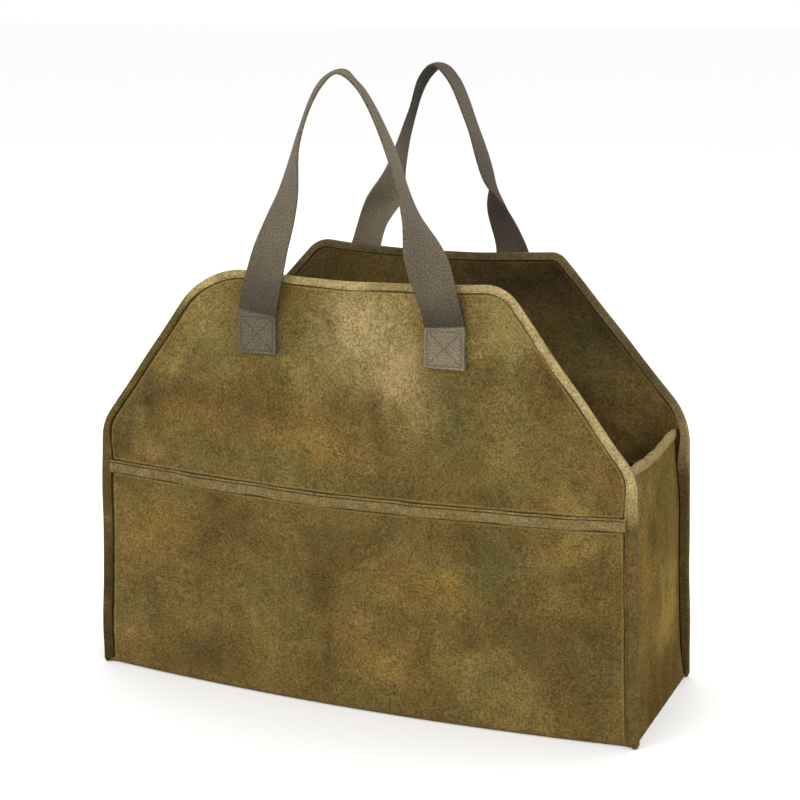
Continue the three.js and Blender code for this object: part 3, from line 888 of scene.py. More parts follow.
@dataclass(frozen=True)
class CanvasFinish:
    """Waxed canvas: mottled olive brown, with a fine grain and worn hairline creases."""

    ground: Colour = srgb(99, 80, 41)
    light: Colour = srgb(122, 101, 54)
    dark: Colour = srgb(78, 62, 31)
    green: Colour = srgb(84, 78, 43)
    red: Colour = srgb(102, 76, 42)
    # worn: colour of the worn flecks and creases, and of the painted highlight beside the tapes.
    worn: Colour = srgb(168, 142, 84)
    # seam: colour of the painted shade, with some dirt, in the groove beside the tapes and under the bands.
    seam: Colour = srgb(36, 28, 15)
    shadow: Colour = srgb(24, 18, 9)
    bend_scale: float = 11.0
    broad_scale: float = 9.0
    ragged_scale: float = 42.0
    green_scale: float = 15.0
    red_scale: float = 19.0
    cloud_scale: float = 48.0
    streak_scale: float = 46.0
    blotch_scale: float = 130.0
    grain_scale: float = 520.0
    fleck_scale: float = 1100.0
    relief: float = 0.5 * MM
    sheen: float = 0.004
    gloss: float = 0.05

    def build(self, name: str, patches: Sequence[Patch], upright: float) -> bpy.types.Material:
        """Makes the material.

        Args:
            name: name of the material.
            patches: its charted patches.
            upright: how far its grain is drawn out upwards, from 0 to 1.

        Returns:
            The material.
        """
        shader = Shader(name)
        bent = shader.warped(self.bend_scale, 0.03)
        drawn_out = (1.0 + upright, 1.0 + upright, 1.0 - 0.6 * upright)
        stretched = shader.moved(shader.place, (0.0, 0.0, 0.0), drawn_out)
        cloud = shader.noise(self.cloud_scale, 5.0, 0.68, stretched)
        blotch = shader.noise(self.blotch_scale, 3.0, 0.6, stretched)
        grain = shader.noise(self.grain_scale, 3.0, 0.85)
        fleck = shader.noise(self.fleck_scale, 1.0, 0.5, shader.moved(shader.place, (2.0, 9.0, 4.0)))
        streaked = shader.moved(bent, (1.0, 6.0, 2.0), (1.0, 1.0, 0.3))
        streak = shader.noise(self.streak_scale, 2.0, 0.5, streaked)
        tone = 0.12 + cloud * 0.72 + blotch * 0.6 + streak * 0.44
        colour = shader.shaded(self._dyed(shader, bent, patches), tone * (grain * 3.4 - 0.7).above(0.1))
        colour = shader.mix(fleck.rise(0.64, 0.8) * 0.45, colour, self.worn)
        crease = self._creases(shader, stretched)
        colour = self._edged(shader, shader.mix(crease, colour, self.worn), cloud)
        relief = cloud * 0.5 + blotch * 0.2 + grain * 0.22 + crease * 0.5
        return shader.finish(colour, 0.55 + cloud * 0.3, relief, self.relief, self.sheen, self.gloss)

    def _dyed(self, shader: Shader, bent: Wire, patches: Sequence[Patch]) -> Wire:
        """Mixes the uneven dye: broad tones, the charted patches, and greenish and reddish spots.

        Args:
            shader: the material's shader.
            bent: the bent places of its pattern.
            patches: its charted patches.

        Returns:
            The colour of the dye.
        """
        broad = shader.noise(self.broad_scale, 3.0, 0.55, bent)
        stops = [(0.34, self.dark), (0.47, self.ground), (0.56, self.ground), (0.68, self.light)]
        colour = shader.add("ShaderNodeValToRGB", {"stops": stops}, {"Fac": broad})
        ragged = shader.noise(self.ragged_scale, 4.0, 0.6)
        for patch in patches:
            share = shader.vector("DIVIDE", shader.vector("SUBTRACT", bent, patch.place), patch.radii)
            reach = shader.add("ShaderNodeVectorMath", {"operation": "LENGTH"}, {0: share}, "Value")
            cover = (reach + ragged * 0.7).rise(1.45, 0.5) * patch.share
            colour = shader.mix(cover, colour, patch.tint)
        green = shader.noise(self.green_scale, 3.0, 0.6, shader.moved(bent, (3.1, 1.7, 5.3)))
        colour = shader.mix(green.rise(0.46, 0.7) * 0.6, colour, self.green)
        red = shader.noise(self.red_scale, 3.0, 0.6, shader.moved(bent, (7.9, 4.2, 0.6)))
        return shader.mix(red.rise(0.56, 0.72) * 0.18, colour, self.red)

    def _edged(self, shader: Shader, colour: Wire, cloud: Wire) -> Wire:
        """Paints shade and dirt in the groove by the tape, a highlight beside it, and shade on the inside.

        Args:
            shader: the material's shader.
            colour: the colour so far.
            cloud: the pattern that breaks the groove up.

        Returns:
            The colour with them.
        """
        rim = shader.attribute("rim")
        # Painted shade, with some dirt, in the groove at the tape's edge and under the band.
        groove = rim.rise(1.8 * MM, 0.3 * MM)
        # Painted highlight on the cloth just beside that groove, in the worn colour.
        lit = (rim - 2.4 * MM).size().rise(1.2 * MM, 0.2 * MM)
        colour = shader.mix(lit * 0.22, colour, self.worn)
        colour = shader.mix(groove * (0.35 + cloud * 0.8), colour, self.seam)
        height = shader.part(shader.place, "Z")
        shade = shader.attribute("inside") * (height.rise(0.23, 0.35) * 0.5 + 0.1)
        return shader.mix(shade, colour, self.shadow)

    def _creases(self, shader: Shader, place: Wire) -> Wire:
        """Draws the worn hairline creases, in short stretches.

        Args:
            shader: the material's shader.
            place: the places of its pattern.

        Returns:
            How far the creases cover the ground.
        """
        cells = {"feature": "DISTANCE_TO_EDGE"}
        cover: Wire | float = 0.0
        for scale, offset in ((17.0, 0.0), (31.0, 2.4)):
            spot = shader.moved(place, (offset, 1.0, offset))
            bent = shader.vector("ADD", spot, shader.scaled(shader.noise(60.0, 2.0, 0.5, spot), 0.02))
            line = shader.add("ShaderNodeTexVoronoi", cells, {"Vector": bent, "Scale": scale}, "Distance")
            where = shader.noise(30.0, 2.0, 0.5, spot).rise(0.54, 0.68)
            cover = cover + line.rise(0.03, 0.0) * where * 0.11
        return cover


@dataclass(frozen=True)
class TapeFinish:
    """Cotton tape: khaki along the top, olive brown lower down, with worn stretches and painted shade."""

    low: Colour = srgb(88, 72, 38)
    high: Colour = srgb(156, 138, 94)
    warm: Colour = srgb(98, 80, 46)
    # Colour of the painted shade in the grooves, on the inner leg and low on the left, with some dirt along
    # the tape's edge.
    groove: Colour = srgb(38, 30, 17)
    worn: Colour = srgb(164, 148, 104)
    rib: float = 1.1 * MM
    relief: float = 0.35 * MM
    sheen: float = 0.01
    gloss: float = 0.03

    def build(self, name: str, low_height: float, high_height: float, tilt: float) -> bpy.types.Material:
        """Makes the material, which lightens between two heights.

        Args:
            name: name of the material.
            low_height: height below which it is dark.
            high_height: height above which it is light.
            tilt: how far those heights fall towards the right, for each unit of length.

        Returns:
            The material.
        """
        shader = Shader(name)
        across, height = shader.part(shader.place, "X"), shader.part(shader.place, "Z")
        drift = shader.noise(14.0, 3.0, 0.6)
        rise = (height + across * tilt + drift * 0.07 - 0.035).rise(low_height, high_height)
        colour = shader.mix(rise, self.low, self.high)
        # Painted shade, deepening towards the left end and the floor.
        low_left_shade = across.rise(0.0, -0.25) * height.rise(0.26, 0.03) * 0.65
        colour = shader.mix(low_left_shade, colour, self.groove)
        warm = shader.noise(22.0, 3.0, 0.55, shader.moved(shader.place, (4.0, 2.0, 8.0)))
        colour = shader.mix(warm.rise(0.5, 0.68) * 0.4, colour, self.warm)
        cloud = shader.noise(90.0, 4.0, 0.65)
        grain = shader.noise(560.0, 2.0, 0.8)
        ribs = (shader.part(shader.flat, "Y") * (2 * math.pi / self.rib)).sine()
        colour = shader.shaded(colour, (0.5 + cloud) * (grain * 2.6 - 0.3))
        colour = shader.mix(cloud.rise(0.62, 0.8) * 0.35, colour, self.worn)
        # Painted shade in the stitch grooves, along the tapes' edges and under the bands, with some dirt
        # along the edges.
        colour = shader.mix(shader.attribute("groove") * (0.35 + cloud * 0.9), colour, self.groove)
        # Painted shade on the inner leg, which faces into the carrier, deeper higher up.
        inside = shader.attribute("inside") * (height.rise(0.2, 0.3) * 0.5 + drift * 0.5)
        colour = shader.mix(inside, colour, self.groove)
        relief = cloud * 0.4 + grain * 0.3 + ribs * 0.08
        return shader.finish(colour, 0.68 + cloud * 0.2, relief, self.relief, self.sheen, self.gloss)


@dataclass(frozen=True)
class WebbingFinish:
    """Heathered taupe webbing in a fine cross-ribbed weave."""

    ground: Colour = srgb(95, 86, 70)
    light: Colour = srgb(138, 127, 108)
    dark: Colour = srgb(58, 50, 39)
    # Colour of the painted shade in the stitch grooves and on the inner faces.
    groove: Colour = srgb(48, 41, 32)
    rib: float = 1.25 * MM
    yarn: float = 1.05 * MM
    roughness: float = 0.82
    relief: float = 0.35 * MM
    sheen: float = 0.03
    gloss: float = 0.07

    def build(self, name: str) -> bpy.types.Material:
        """Makes the material.

        Args:
            name: name of the material.

        Returns:
            The material.
        """
        shader = Shader(name)
        across = shader.part(shader.flat, "X") * (2 * math.pi / self.yarn)
        along = shader.part(shader.flat, "Y") * (2 * math.pi / self.rib)
        weave = across.sine() * along.sine()
        twill = (across + along).sine()
        yarns = shader.moved(shader.flat, (0.0, 0.0, 0.0), (700.0, 900.0, 1.0))
        heather = shader.noise(1.0, 3.0, 0.7, yarns)
        slow = shader.noise(34.0, 3.0, 0.6)
        tone = heather + weave * 0.05 + twill * 0.05
        stops = [(0.3, self.dark), (0.5, self.ground), (0.72, self.light)]
        colour = shader.add("ShaderNodeValToRGB", {"stops": stops}, {"Fac": tone})
        # Painted light and shade along the webbing, read from its tone attribute.
        colour = shader.shaded(colour, (0.7 + slow * 0.6) * shader.attribute("tone"))
        # Painted shade in the stitch grooves of the boxes.
        colour = shader.mix(shader.attribute("groove") * 0.7, colour, self.groove)
        # Painted shade on the inner faces.
        colour = shader.mix(shader.attribute("inside") * 0.35, colour, self.groove)
        relief = weave * 0.25 + twill * 0.2 + heather * 0.4
        return shader.finish(colour, self.roughness, relief, self.relief, self.sheen, self.gloss)


@dataclass
class Panels:
    """The canvas: the long body panel, the two flaps and the two end panels."""

    step: float = 3.6 * MM
    flap_step: float = 2.6 * MM
    flap_rows: int = 70
    crowding: float = 1.4
    end_inset: float = 2.2 * MM
    seam_calm: float = 12 * MM
    crease_width: float = 0.05
    finish: CanvasFinish = field(default_factory=CanvasFinish)
    end_finish: CanvasFinish = field(default_factory=lambda: CanvasFinish(gloss=0.0))

    def build(self) -> None:
        """Makes the five panels."""
        cloth = self.finish.build("waxed_canvas", FRONT_PATCHES + REAR_PATCHES, 0.0)
        end_cloth = self.end_finish.build("waxed_canvas_ends", END_PATCHES, 0.55)
        self.body(cloth)
        for side in (FRONT, REAR):
            self.flap(side, cloth)
        for end in End:
            self.end_panel(end, end_cloth)

    def body(self, cloth: bpy.types.Material) -> None:
        """Makes the lower front, the bottom and the lower rear in one piece.

        Rows run from the rear seam, -3, down the wall to -2, round the fold to -1, across the
        floor to 1, and up the front in the same way to 3.

        Args:
            cloth: its material.
        """
        wall = CUT.seam_height - CUT.fold_radius
        floor = CUT.body_depth / 2 - CUT.fold_radius
        fold = CUT.fold_radius * math.pi / 2
        half = np.concatenate([
            spaced(CUT.body_depth / 2, self.step)[:-1],
            1 + spaced(CUT.fold_radius * 2, self.step / 2)[:-1],
            2 + spaced(wall, self.step, 0.6),
        ])
        rows = np.concatenate([-half[::-1], half[1:]])
        columns = 2 * spaced(CUT.body_length, self.step, 0.55) - 1

        def place(u: Array, s: Array) -> Array:
            """Lays the cloth.

            Args:
                u: places across, from -1 to 1.
                s: the rows, from -3 to 3.

            Returns:
                Rows of x, y and z.
            """
            z = self._body_height(s, CUT.seam_height)
            inset = self.end_inset * (1 - smooth(z, 0, 2 * CUT.foot_corner))
            x = u * (CUT.side_edge(z) - inset)
            z = self._body_height(s, CUT.seam_line(x) - CUT.gap / 2)
            points = np.zeros((len(u), 3))
            for side in (FRONT, REAR):
                mine = (s > 0) == (side is FRONT)
                arc = np.clip(np.abs(s) - 1, 0, 1) * math.pi / 2
                bow = CUT.bow(side, x, 0) * (1 - smooth(np.abs(s), 2, 2.001))
                low = CUT.body_depth / 2 + bow - CUT.fold_radius
                y = side.facing * (np.clip(np.abs(s), 0, 1) * low + CUT.fold_radius * np.sin(arc))
                rim = CUT.side_edge(z) - np.abs(x) - CUT.tape_reach(z)
                fade = smooth(z, 2 * MM, 20 * MM) * smooth(CUT.seam_line(x) - z, 0, self.seam_calm)
                fine = uneven(x, z, rim, side.phase, side.phase) * fade
                y = np.where(np.abs(s) > 2, CUT.skin(side, x, z, fine), y)
                points[mine] = np.stack([x, y, z], axis=1)[mine]
            return points

        def flat(u: Array, s: Array) -> Array:
            """Gives the places on the flat cloth."""
            lengths = np.interp(np.abs(s), range(4), np.cumsum([0, floor, fold, wall]))
            return np.stack([u * CUT.body_length / 2, np.sign(s) * lengths], axis=1)

        piece = lay("body_panel", columns, rows, place, flat)
        points = points_of(piece)
        x, z = points[:, 0], points[:, 2]
        # rim: distance from the tape's inner edge and the band's lower edge; the finish paints shade, with
        # some dirt, and a highlight along it.
        rim = CUT.side_edge(z) - np.abs(x) - CUT.tape_reach(z)
        rim = np.minimum(rim, CUT.seam_line(x) - z - CUT.band_below)
        paint(piece, "rim", np.where(z > CUT.foot_corner, rim, 1.0))
        thicken(piece, CUT.canvas, -1)
        mark_inside(piece)
        settle(piece, Slot.CANVAS, cloth, "base_panel")

    def _body_height(self, s: Array, head: Array | float) -> Array:
        """Gives the heights of the body's rows.

        Args:
            s: the rows, from -3 to 3.
            head: height of the level seam.

        Returns:
            The heights.
        """
        arc = np.clip(np.abs(s) - 1, 0, 1) * math.pi / 2
        climb = (head - CUT.fold_radius) * np.clip(np.abs(s) - 2, 0, 1)
        return CUT.fold_radius * (1 - np.cos(arc)) + climb

    def flap(self, side: Side, cloth: bpy.types.Material) -> None:
        """Makes the upper panel of one side.

        Args:
            side: the long side.
            cloth: its material.
        """
        line = CUT.outline(side)
        lengths = lengths_along(line)
        columns = spaced(lengths[-1], self.flap_step)
        rows = 1 - (1 - np.linspace(0, 1, self.flap_rows)) ** self.crowding
        shoulder = line[-1, 0]

        def spot(u: Array, t: Array) -> tuple[Array, Array]:
            """Spreads the grid between the level seam and the outline.

            Args:
                u: places across, from 0 to 1.
                t: places up, from 0 at the seam to 1 at the outline.

            Returns:
                The places along the carrier and the heights.
            """
            along = (u if side is FRONT else 1 - u) * lengths[-1]
            top_x = np.interp(along, lengths, line[:, 0])
            foot_x = top_x / shoulder * CUT.side_edge(CUT.seam_height)
            foot = CUT.seam_line(foot_x) + CUT.gap / 2
            return foot_x + (top_x - foot_x) * t, foot + (np.interp(along, lengths, line[:, 1]) - foot) * t

        def place(u: Array, t: Array) -> Array:
            """Lays the cloth.

            Args:
                u: places across, from 0 to 1.
                t: places up, from 0 to 1.

            Returns:
                Rows of x, y and z.
            """
            x, z = spot(u, t)
            fade = smooth(z - CUT.seam_line(x), 0, self.seam_calm)
            fine = uneven(x, z, self._flap_rim(line, x, z), side.phase + 1, side.phase)
            return np.stack([x, CUT.skin(side, x, z, fine * fade), z], axis=1)

        def flat(u: Array, t: Array) -> Array:
            """Gives the places on the flat cloth."""
            return np.stack(spot(u, t), axis=1)

        piece = lay(f"{side.name}_flap_cloth", columns, rows, place, flat)
        points = points_of(piece)
        # rim: distance from the tape's inner edge and the band's top; the finish paints shade, with some
        # dirt, and a highlight along it.
        paint(piece, "rim", self._flap_rim(line, points[:, 0], points[:, 2]))
        thicken(piece, CUT.canvas, -1)
        mark_inside(piece)
        settle(piece, Slot.CANVAS, cloth, f"{side.name}_flap")

    def _flap_rim(self, line: Array, x: Array, z: Array) -> Array:
        """Gives the distance of a flap's points from the inner edge of its tape."""
        near = np.minimum(distance_to(line, x, z), CUT.side_edge(CUT.seam_height) - np.abs(x))
        return np.minimum(near - CUT.tape_reach(z), z - CUT.seam_line(x) - CUT.band_above)

    def end_panel(self, end: End, cloth: bpy.types.Material) -> None:
        """Makes one end panel, whose side edges turn out into the corner seams.

        Args:
            end: which end.
            cloth: its material.
        """
        layer = CUT.canvas + CUT.gap
        depth = CUT.body_depth - 2 * layer
        columns = np.concatenate([
            -1 + spaced(CUT.allowance, self.step / 2)[:-1],
            spaced(depth, self.step / 1.5)[:-1],
            1 + spaced(CUT.allowance, self.step / 2),
        ])
        rows = spaced(CUT.gusset_height, self.step, 0.5)

        def place(u: Array, t: Array) -> Array:
            """Lays the cloth.

            Args:
                u: places across, from 0 to 1 between the corners and beyond them in the seams.
                t: places up, from 0 to 1.

            Returns:
                Rows of x, y and z.
            """
            c = u if end is End.RIGHT else 1 - u
            along = np.clip(c, 0, 1)
            turned = np.clip(np.maximum(-c, c - 1), 0, 1)
            out = turned * CUT.allowance
            edge = CUT.end_face(CUT.seam_height) + out
            head = np.where(c < 0.5, CUT.cloth_top(FRONT, edge), CUT.cloth_top(REAR, edge))
            head = np.where(out > 0, np.minimum(head, CUT.gusset_height), CUT.gusset_height)
            corner = np.exp(-np.minimum(along, 1 - along) * depth / (1.5 * MM))
            foot = CUT.gap + (layer - CUT.gap) * corner
            foot = np.where(out > 0, CUT.foot_corner * turned**2 + layer, foot)
            z = foot + (head - foot) * t
            flare = CUT.flare(z)
            out = flare + out * (1 - flare / CUT.allowance)
            x = CUT.end_face(z)
            front_y = CUT.skin(FRONT, x + out, z, -layer - CUT.canvas)
            rear_y = CUT.skin(REAR, x + out, z, -layer - CUT.canvas)
            y = front_y + (rear_y - front_y) * along
            rise = smooth(z, 0, CUT.gusset_height)
            calm = np.sin(math.pi * along) ** 0.5 * smooth(z, 0, 30 * MM) * (turned == 0)
            fine = crumple(y * 1.3, z, 5.1 + end.value) * calm
            crease = self._end_creases(along, z) * calm
            x = x + out + CUT.end_bow * np.sin(math.pi * along) ** 2 * rise + fine + crease
            return np.stack([end.value * x, y, z], axis=1)

        def flat(u: Array, t: Array) -> Array:
            """Gives the places on the flat cloth."""
            return np.stack([u * depth, t * CUT.gusset_height], axis=1)

        name = end.name.lower()
        piece = lay(f"{name}_end_cloth", columns, rows, place, flat)
        points = points_of(piece)
        back = -layer - CUT.canvas
        fronts, rears = (CUT.skin(side, points[:, 0], points[:, 2], back) for side in (FRONT, REAR))
        # rim: distance from the front and rear cloth; the finish paints shade in the corners and a highlight
        # beside it.
        paint(piece, "rim", np.minimum(points[:, 1] - fronts, rears - points[:, 1]))
        thicken(piece, CUT.canvas, -1)
        mark_inside(piece)
        settle(piece, Slot.CANVAS, cloth, f"{name}_gusset")

    def _end_creases(self, along: Array, z: Array) -> Array:
        """Gives the relief of the long upright creases of an end panel.

        Args:
            along: places across the panel, from 0 to 1.
            z: heights.

        Returns:
            The relief, in metres.
        """
        rows = ((0.2, 0.11, 0.10, 0.05, 0.6), (0.55, 0.14, 0.07, -0.1, -0.5), (0.8, 0.12, 0.09, 0.06, 0.5))
        total = np.zeros_like(z)
        for centre, middle, reach, slant, height in rows:
            up = (z - middle) / reach
            beside = (along - centre - slant * up) / self.crease_width
            total += height * MM * np.exp(-(beside**2)) * np.exp(-(up**2))
        return total


@dataclass
class Tapes:
    """The folded tapes over the corner seams, slopes and tops, and the bands over the level seams."""

    step: float = 2.6 * MM
    pillow: float = 0.4 * MM
    stitch_inset: float = 2.0 * MM
    flat_width: float = 22.8 * MM
    end_depth: float = 7.5 * MM
    band_wall: float = 0.5 * MM
    band_width: float = 22 * MM
    finish: TapeFinish = field(default_factory=TapeFinish)

    def build(self) -> None:
        """Makes the six tapes and bands."""
        tape = self.finish.build("bound_tape", low_height=0.265, high_height=0.33, tilt=0.35)
        band = self.finish.build("seam_tape", low_height=0.06, high_height=0.42, tilt=0.0)
        for side in (FRONT, REAR):
            self.edge(side, tape)
            self.band(side, band)
        for end in End:
            self.end_tape(end, band)

    def path(self, side: Side) -> tuple[Array, Array, Array]:
        """Follows the bound edge of a side from its left bottom corner over the top to its right one.

        Args:
            side: the long side.

        Returns:
            The points as rows of x and z, the directions inwards and the lengths so far.
        """
        heights = np.concatenate([
            CUT.foot_corner * spaced(1.0, 0.1)[1:] ** 2,
            np.linspace(CUT.foot_corner, CUT.seam_height, 52)[1:],
        ])
        low = np.stack([CUT.side_edge(heights), heights], axis=1)
        line = np.vstack([low * [-1, 1], CUT.outline(side), low[::-1]])
        lengths = lengths_along(line)
        even = spaced(lengths[-1], self.step) * lengths[-1]
        points = np.stack([np.interp(even, lengths, line[:, k]) for k in (0, 1)], axis=1)
        along = np.gradient(points, axis=0)
        along /= np.linalg.norm(along, axis=1)[:, None]
        return points, np.stack([along[:, 1], -along[:, 0]], axis=1), even

    def inner_reach(self, points: Array, inward: Array) -> Array:
        """Gives how far the inner leg may reach in before it meets an end panel.

        Args:
            points: the tape's path, as rows of x and z.
            inward: the directions inwards.

        Returns:
            The reach at each point.
        """
        whole = CUT.tape_reach(points[:, 1])
        reach = whole.copy()
        for share in np.linspace(1, 0.08, 24):
            spot = points + inward * (whole * share)[:, None]
            wall = CUT.end_face(spot[:, 1]) + CUT.flare(spot[:, 1])
            close = np.abs(spot[:, 0]) < wall + CUT.tape_wall
            inside = close & (spot[:, 1] < CUT.gusset_height + CUT.tape_wall)
            reach[inside] = whole[inside] * max(share - 0.06, 0.08)
        return reach

    def columns(self, folds: tuple[float, float], counts: tuple[int, int, int]) -> Array:
        """Spreads a tape's places over its inner leg, its fold and its outer leg.

        Args:
            folds: where the fold begins and ends.
            counts: how many steps each of the three has.

        Returns:
            The rising places, from 0 to 1.
        """
        marks = (0, *folds, 1)
        runs = [np.linspace(low, high, count + 1)[1:] for low, high, count in zip(marks, marks[1:], counts)]
        return np.concatenate([[0], *runs])

    def legs(self, u: Array, folds: tuple[float, float]) -> tuple[Array, Array, Array]:
        """Splits places across a tape.

        Args:
            u: the places, from 0 to 1.
            folds: where the fold begins and ends.

        Returns:
            The shares of the inner leg, the turn of the fold in radians and the shares of the outer leg.
        """
        first, last = folds
        inner = np.clip((first - u) / first, 0, 1)
        turn = np.clip((u - first) / (last - first), 0, 1) * math.pi
        return inner, turn, np.clip((u - last) / (1 - last), 0, 1)

    def edge(self, side: Side, tape: bpy.types.Material) -> None:
        """Makes the long tape of one side, with its line of stitches.

        Args:
            side: the long side.
            tape: its material.
        """
        points, inward, lengths = self.path(side)
        reach_in = self.inner_reach(points, inward)
        reach_out = CUT.tape_reach(points[:, 1])
        high = CUT.gusset_height + CUT.tape_depth
        sewn_in = 1 - smooth(points[:, 1], high, high + 2 * CUT.tape_depth)
        stack = CUT.canvas + (CUT.canvas + CUT.gap) * sewn_in
        waves = np.sin(lengths / 0.011 + side.phase) + np.sin(lengths / 0.0173 + 2 * side.phase)
        wobble = 0.35 * MM * waves
        strength = 0.16 * MM * (0.6 + 0.4 * np.sin(lengths / 0.05))
        gather = strength * np.sin(lengths / 0.0027 + 2 * np.sin(lengths / 0.02))
        face = CUT.gap + CUT.tape_wall / 2
        groove_at = 1 - self.stitch_inset / CUT.tape_depth
        folds = (0.36, 0.5)
        across = self.columns(folds, (6, 6, 21))

        def place(u: Array, v: Array) -> Array:
            """Lays the tape.

            Args:
                u: places across, from the inner leg's edge over the fold to the outer leg's.
                v: places along, from 0 to 1.

            Returns:
                Rows of x, y and z.
            """
            k = np.rint(v * (len(points) - 1)).astype(int)
            inner, turn, outer = self.legs(u, folds)
            fold = face * np.sin(turn)
            reach = outer * reach_out[k] + inner * reach_in[k] - fold + wobble[k] * (0.4 + 0.6 * outer)
            bulk = self.pillow * np.sin(math.pi * np.clip(outer / groove_at, 0, 1)) + gather[k] * outer
            dip = -0.35 * MM * np.exp(-(((outer - groove_at) * CUT.tape_depth / (0.9 * MM)) ** 2))
            middle = -stack[k] / 2
            half = stack[k] / 2 + face
            outwards = middle - half * np.cos(turn) + (bulk + dip) * (outer > 0)
            x = points[k, 0] + inward[k, 0] * reach
            z = np.maximum(points[k, 1] + inward[k, 1] * reach, CUT.tape_wall / 2)
            return np.stack([x, CUT.skin(side, x, z, outwards), z], axis=1)

        def flat(u: Array, v: Array) -> Array:
            """Gives the places on the flat tape."""
            return np.stack([u * self.flat_width, v * lengths[-1]], axis=1)

        piece = lay(f"{side.name}_edge_tape", across, np.linspace(0, 1, len(points)), place, flat)
        places = np.tile(across, len(points))
        outer = self.legs(places, folds)[2]
        stitch_line = np.exp(-(((outer - groove_at) * CUT.tape_depth / (0.5 * MM)) ** 2)) * 0.5
        # Painted shade in the stitch line and, with some dirt, along the tape's free edge.
        paint(piece, "groove", np.maximum(stitch_line, smooth(outer, 0.955, 1.0) * 0.9))
        # The inner leg, where the finish paints shade.
        paint(piece, "inside", (places < 0.45) * 1.0)
        thicken(piece, CUT.tape_wall, 0)
        settle(piece, Slot.TAPE, tape, f"{side.name}_edge_binding")

    def band(self, side: Side, tape: bpy.types.Material) -> None:
        """Makes the folded band over the level seam of one side.

        Its rows are heights from the seam and distances out of the cloth, in millimetres: a thin
        lip, a groove and a flat band with a free lower edge.

        Args:
            side: the long side.
            tape: its material.
        """
        rows = np.array([
            (3.1, 0.5), (3.3, 1.0), (3.0, 1.5), (2.4, 1.6), (1.9, 1.3), (1.5, 0.7), (1.2, 0.5), (0.9, 0.8),
            (0.4, 1.6), (-0.4, 2.1), (-2.0, 2.3), (-4.0, 2.35), (-6.0, 2.3), (-7.0, 2.2), (-7.5, 1.9),
            (-7.7, 1.5), (-7.5, 1.1), (-6.9, 0.8), (-5.0, 0.7), (-2.0, 0.7),
        ])
        reach = CUT.side_edge(CUT.seam_height) - CUT.tape_depth + 1.5 * MM
        columns = 2 * spaced(2 * reach, self.step) - 1
        turn = 1 if side is FRONT else -1

        def place(u: Array, v: Array) -> Array:
            """Lays the band.

            Args:
                u: places along, from -1 to 1.
                v: the rows, from 0 to 1.

            Returns:
                Rows of x, y and z.
            """
            k = np.rint(v * (len(rows) - 1)).astype(int)
            x = u * reach * turn
            drift = 0.5 * np.sin(x / 0.017 + side.phase) + 0.35 * np.sin(x / 0.0071 + 2)
            edge = (rows[k, 0] < -3) * drift * 0.5
            z = CUT.seam_line(x) + (rows[k, 0] + drift * 0.5 + edge) * MM
            swell = (1 + 0.16 * np.sin(x / 0.0041) * np.sin(x / 0.023)) * rows[k, 1] * MM
            return np.stack([x, CUT.skin(side, x, z, swell), z], axis=1)

        def flat(u: Array, v: Array) -> Array:
            """Gives the places on the flat band."""
            return np.stack([v * self.band_width, u * reach], axis=1)

        # The rows run downwards, so the grid is laid with its columns turned round.
        piece = lay(f"{side.name}_seam_tape", columns, np.linspace(0, 1, len(rows)), place, flat)
        heights = np.repeat(rows[:, 0], len(columns))
        # Painted shade in the groove under the lip, and painted shadow under the band's free lower edge.
        paint(piece, "groove", np.where(np.abs(heights - 1.3) < 0.45, 0.9, 0.0) + (heights < -7.4) * 0.5)
        thicken(piece, self.band_wall, 0)
        settle(piece, Slot.TAPE, tape, f"{side.name}_seam_band")

    def end_tape(self, end: End, tape: bpy.types.Material) -> None:
        """Makes the folded tape over the top of one end panel.

        Args:
            end: which end.
            tape: its material.
        """
        clear = 2 * CUT.canvas + 3 * CUT.gap + CUT.tape_wall
        face = CUT.gap + CUT.tape_wall / 2
        folds = (0.4, 0.55)
        across = self.columns(folds, (7, 6, 19))
        rows = spaced(CUT.body_depth, self.step)

        def place(u: Array, v: Array) -> Array:
            """Lays the tape.

            Args:
                u: places across, from the inner leg's edge over the fold to the outer leg's.
                v: places along, from 0 at the front to 1 at the rear.

            Returns:
                Rows of x, y and z.
            """
            inner, turn, outer = self.legs(u, folds)
            drift = 0.4 * MM * np.sin(v * 31) + 0.25 * MM * np.sin(v * 83 + 1)
            z = CUT.gusset_height + face * np.sin(turn) - (outer + inner) * self.end_depth + drift
            half = CUT.canvas / 2 + face
            pillow = self.pillow * np.sin(math.pi * np.clip(outer / 0.8, 0, 1))
            bulk = pillow + 0.12 * MM * np.sin(v * 170) * outer
            base = np.minimum(z, CUT.gusset_height)
            front_y = CUT.skin(FRONT, CUT.end_face(base), base, -clear)
            rear_y = CUT.skin(REAR, CUT.end_face(base), base, -clear)
            rise = smooth(base, 0, CUT.gusset_height)
            x = CUT.end_face(base) + CUT.end_bow * np.sin(math.pi * v) ** 2 * rise
            x = x - CUT.canvas / 2 - half * np.cos(turn) + bulk * (outer > 0)
            return np.stack([end.value * x, front_y + (rear_y - front_y) * v, z], axis=1)

        def flat(u: Array, v: Array) -> Array:
            """Gives the places on the flat tape."""
            return np.stack([u * self.flat_width, v * CUT.body_depth], axis=1)

        name = end.name.lower()
        piece = lay(f"{name}_end_tape", across, rows, place, flat)
        outer = self.legs(np.tile(across, len(rows)), folds)[2]
        stitch_line = np.exp(-(((outer - 0.81) / 0.05) ** 2)) * 0.5
        # Painted shade in the stitch line and, with some dirt, along the tape's free edge.
        paint(piece, "groove", np.maximum(stitch_line, smooth(outer, 0.95, 1.0)))
        thicken(piece, CUT.tape_wall, 0)
        settle(piece, Slot.TAPE, tape, f"{name}_gusset_binding")


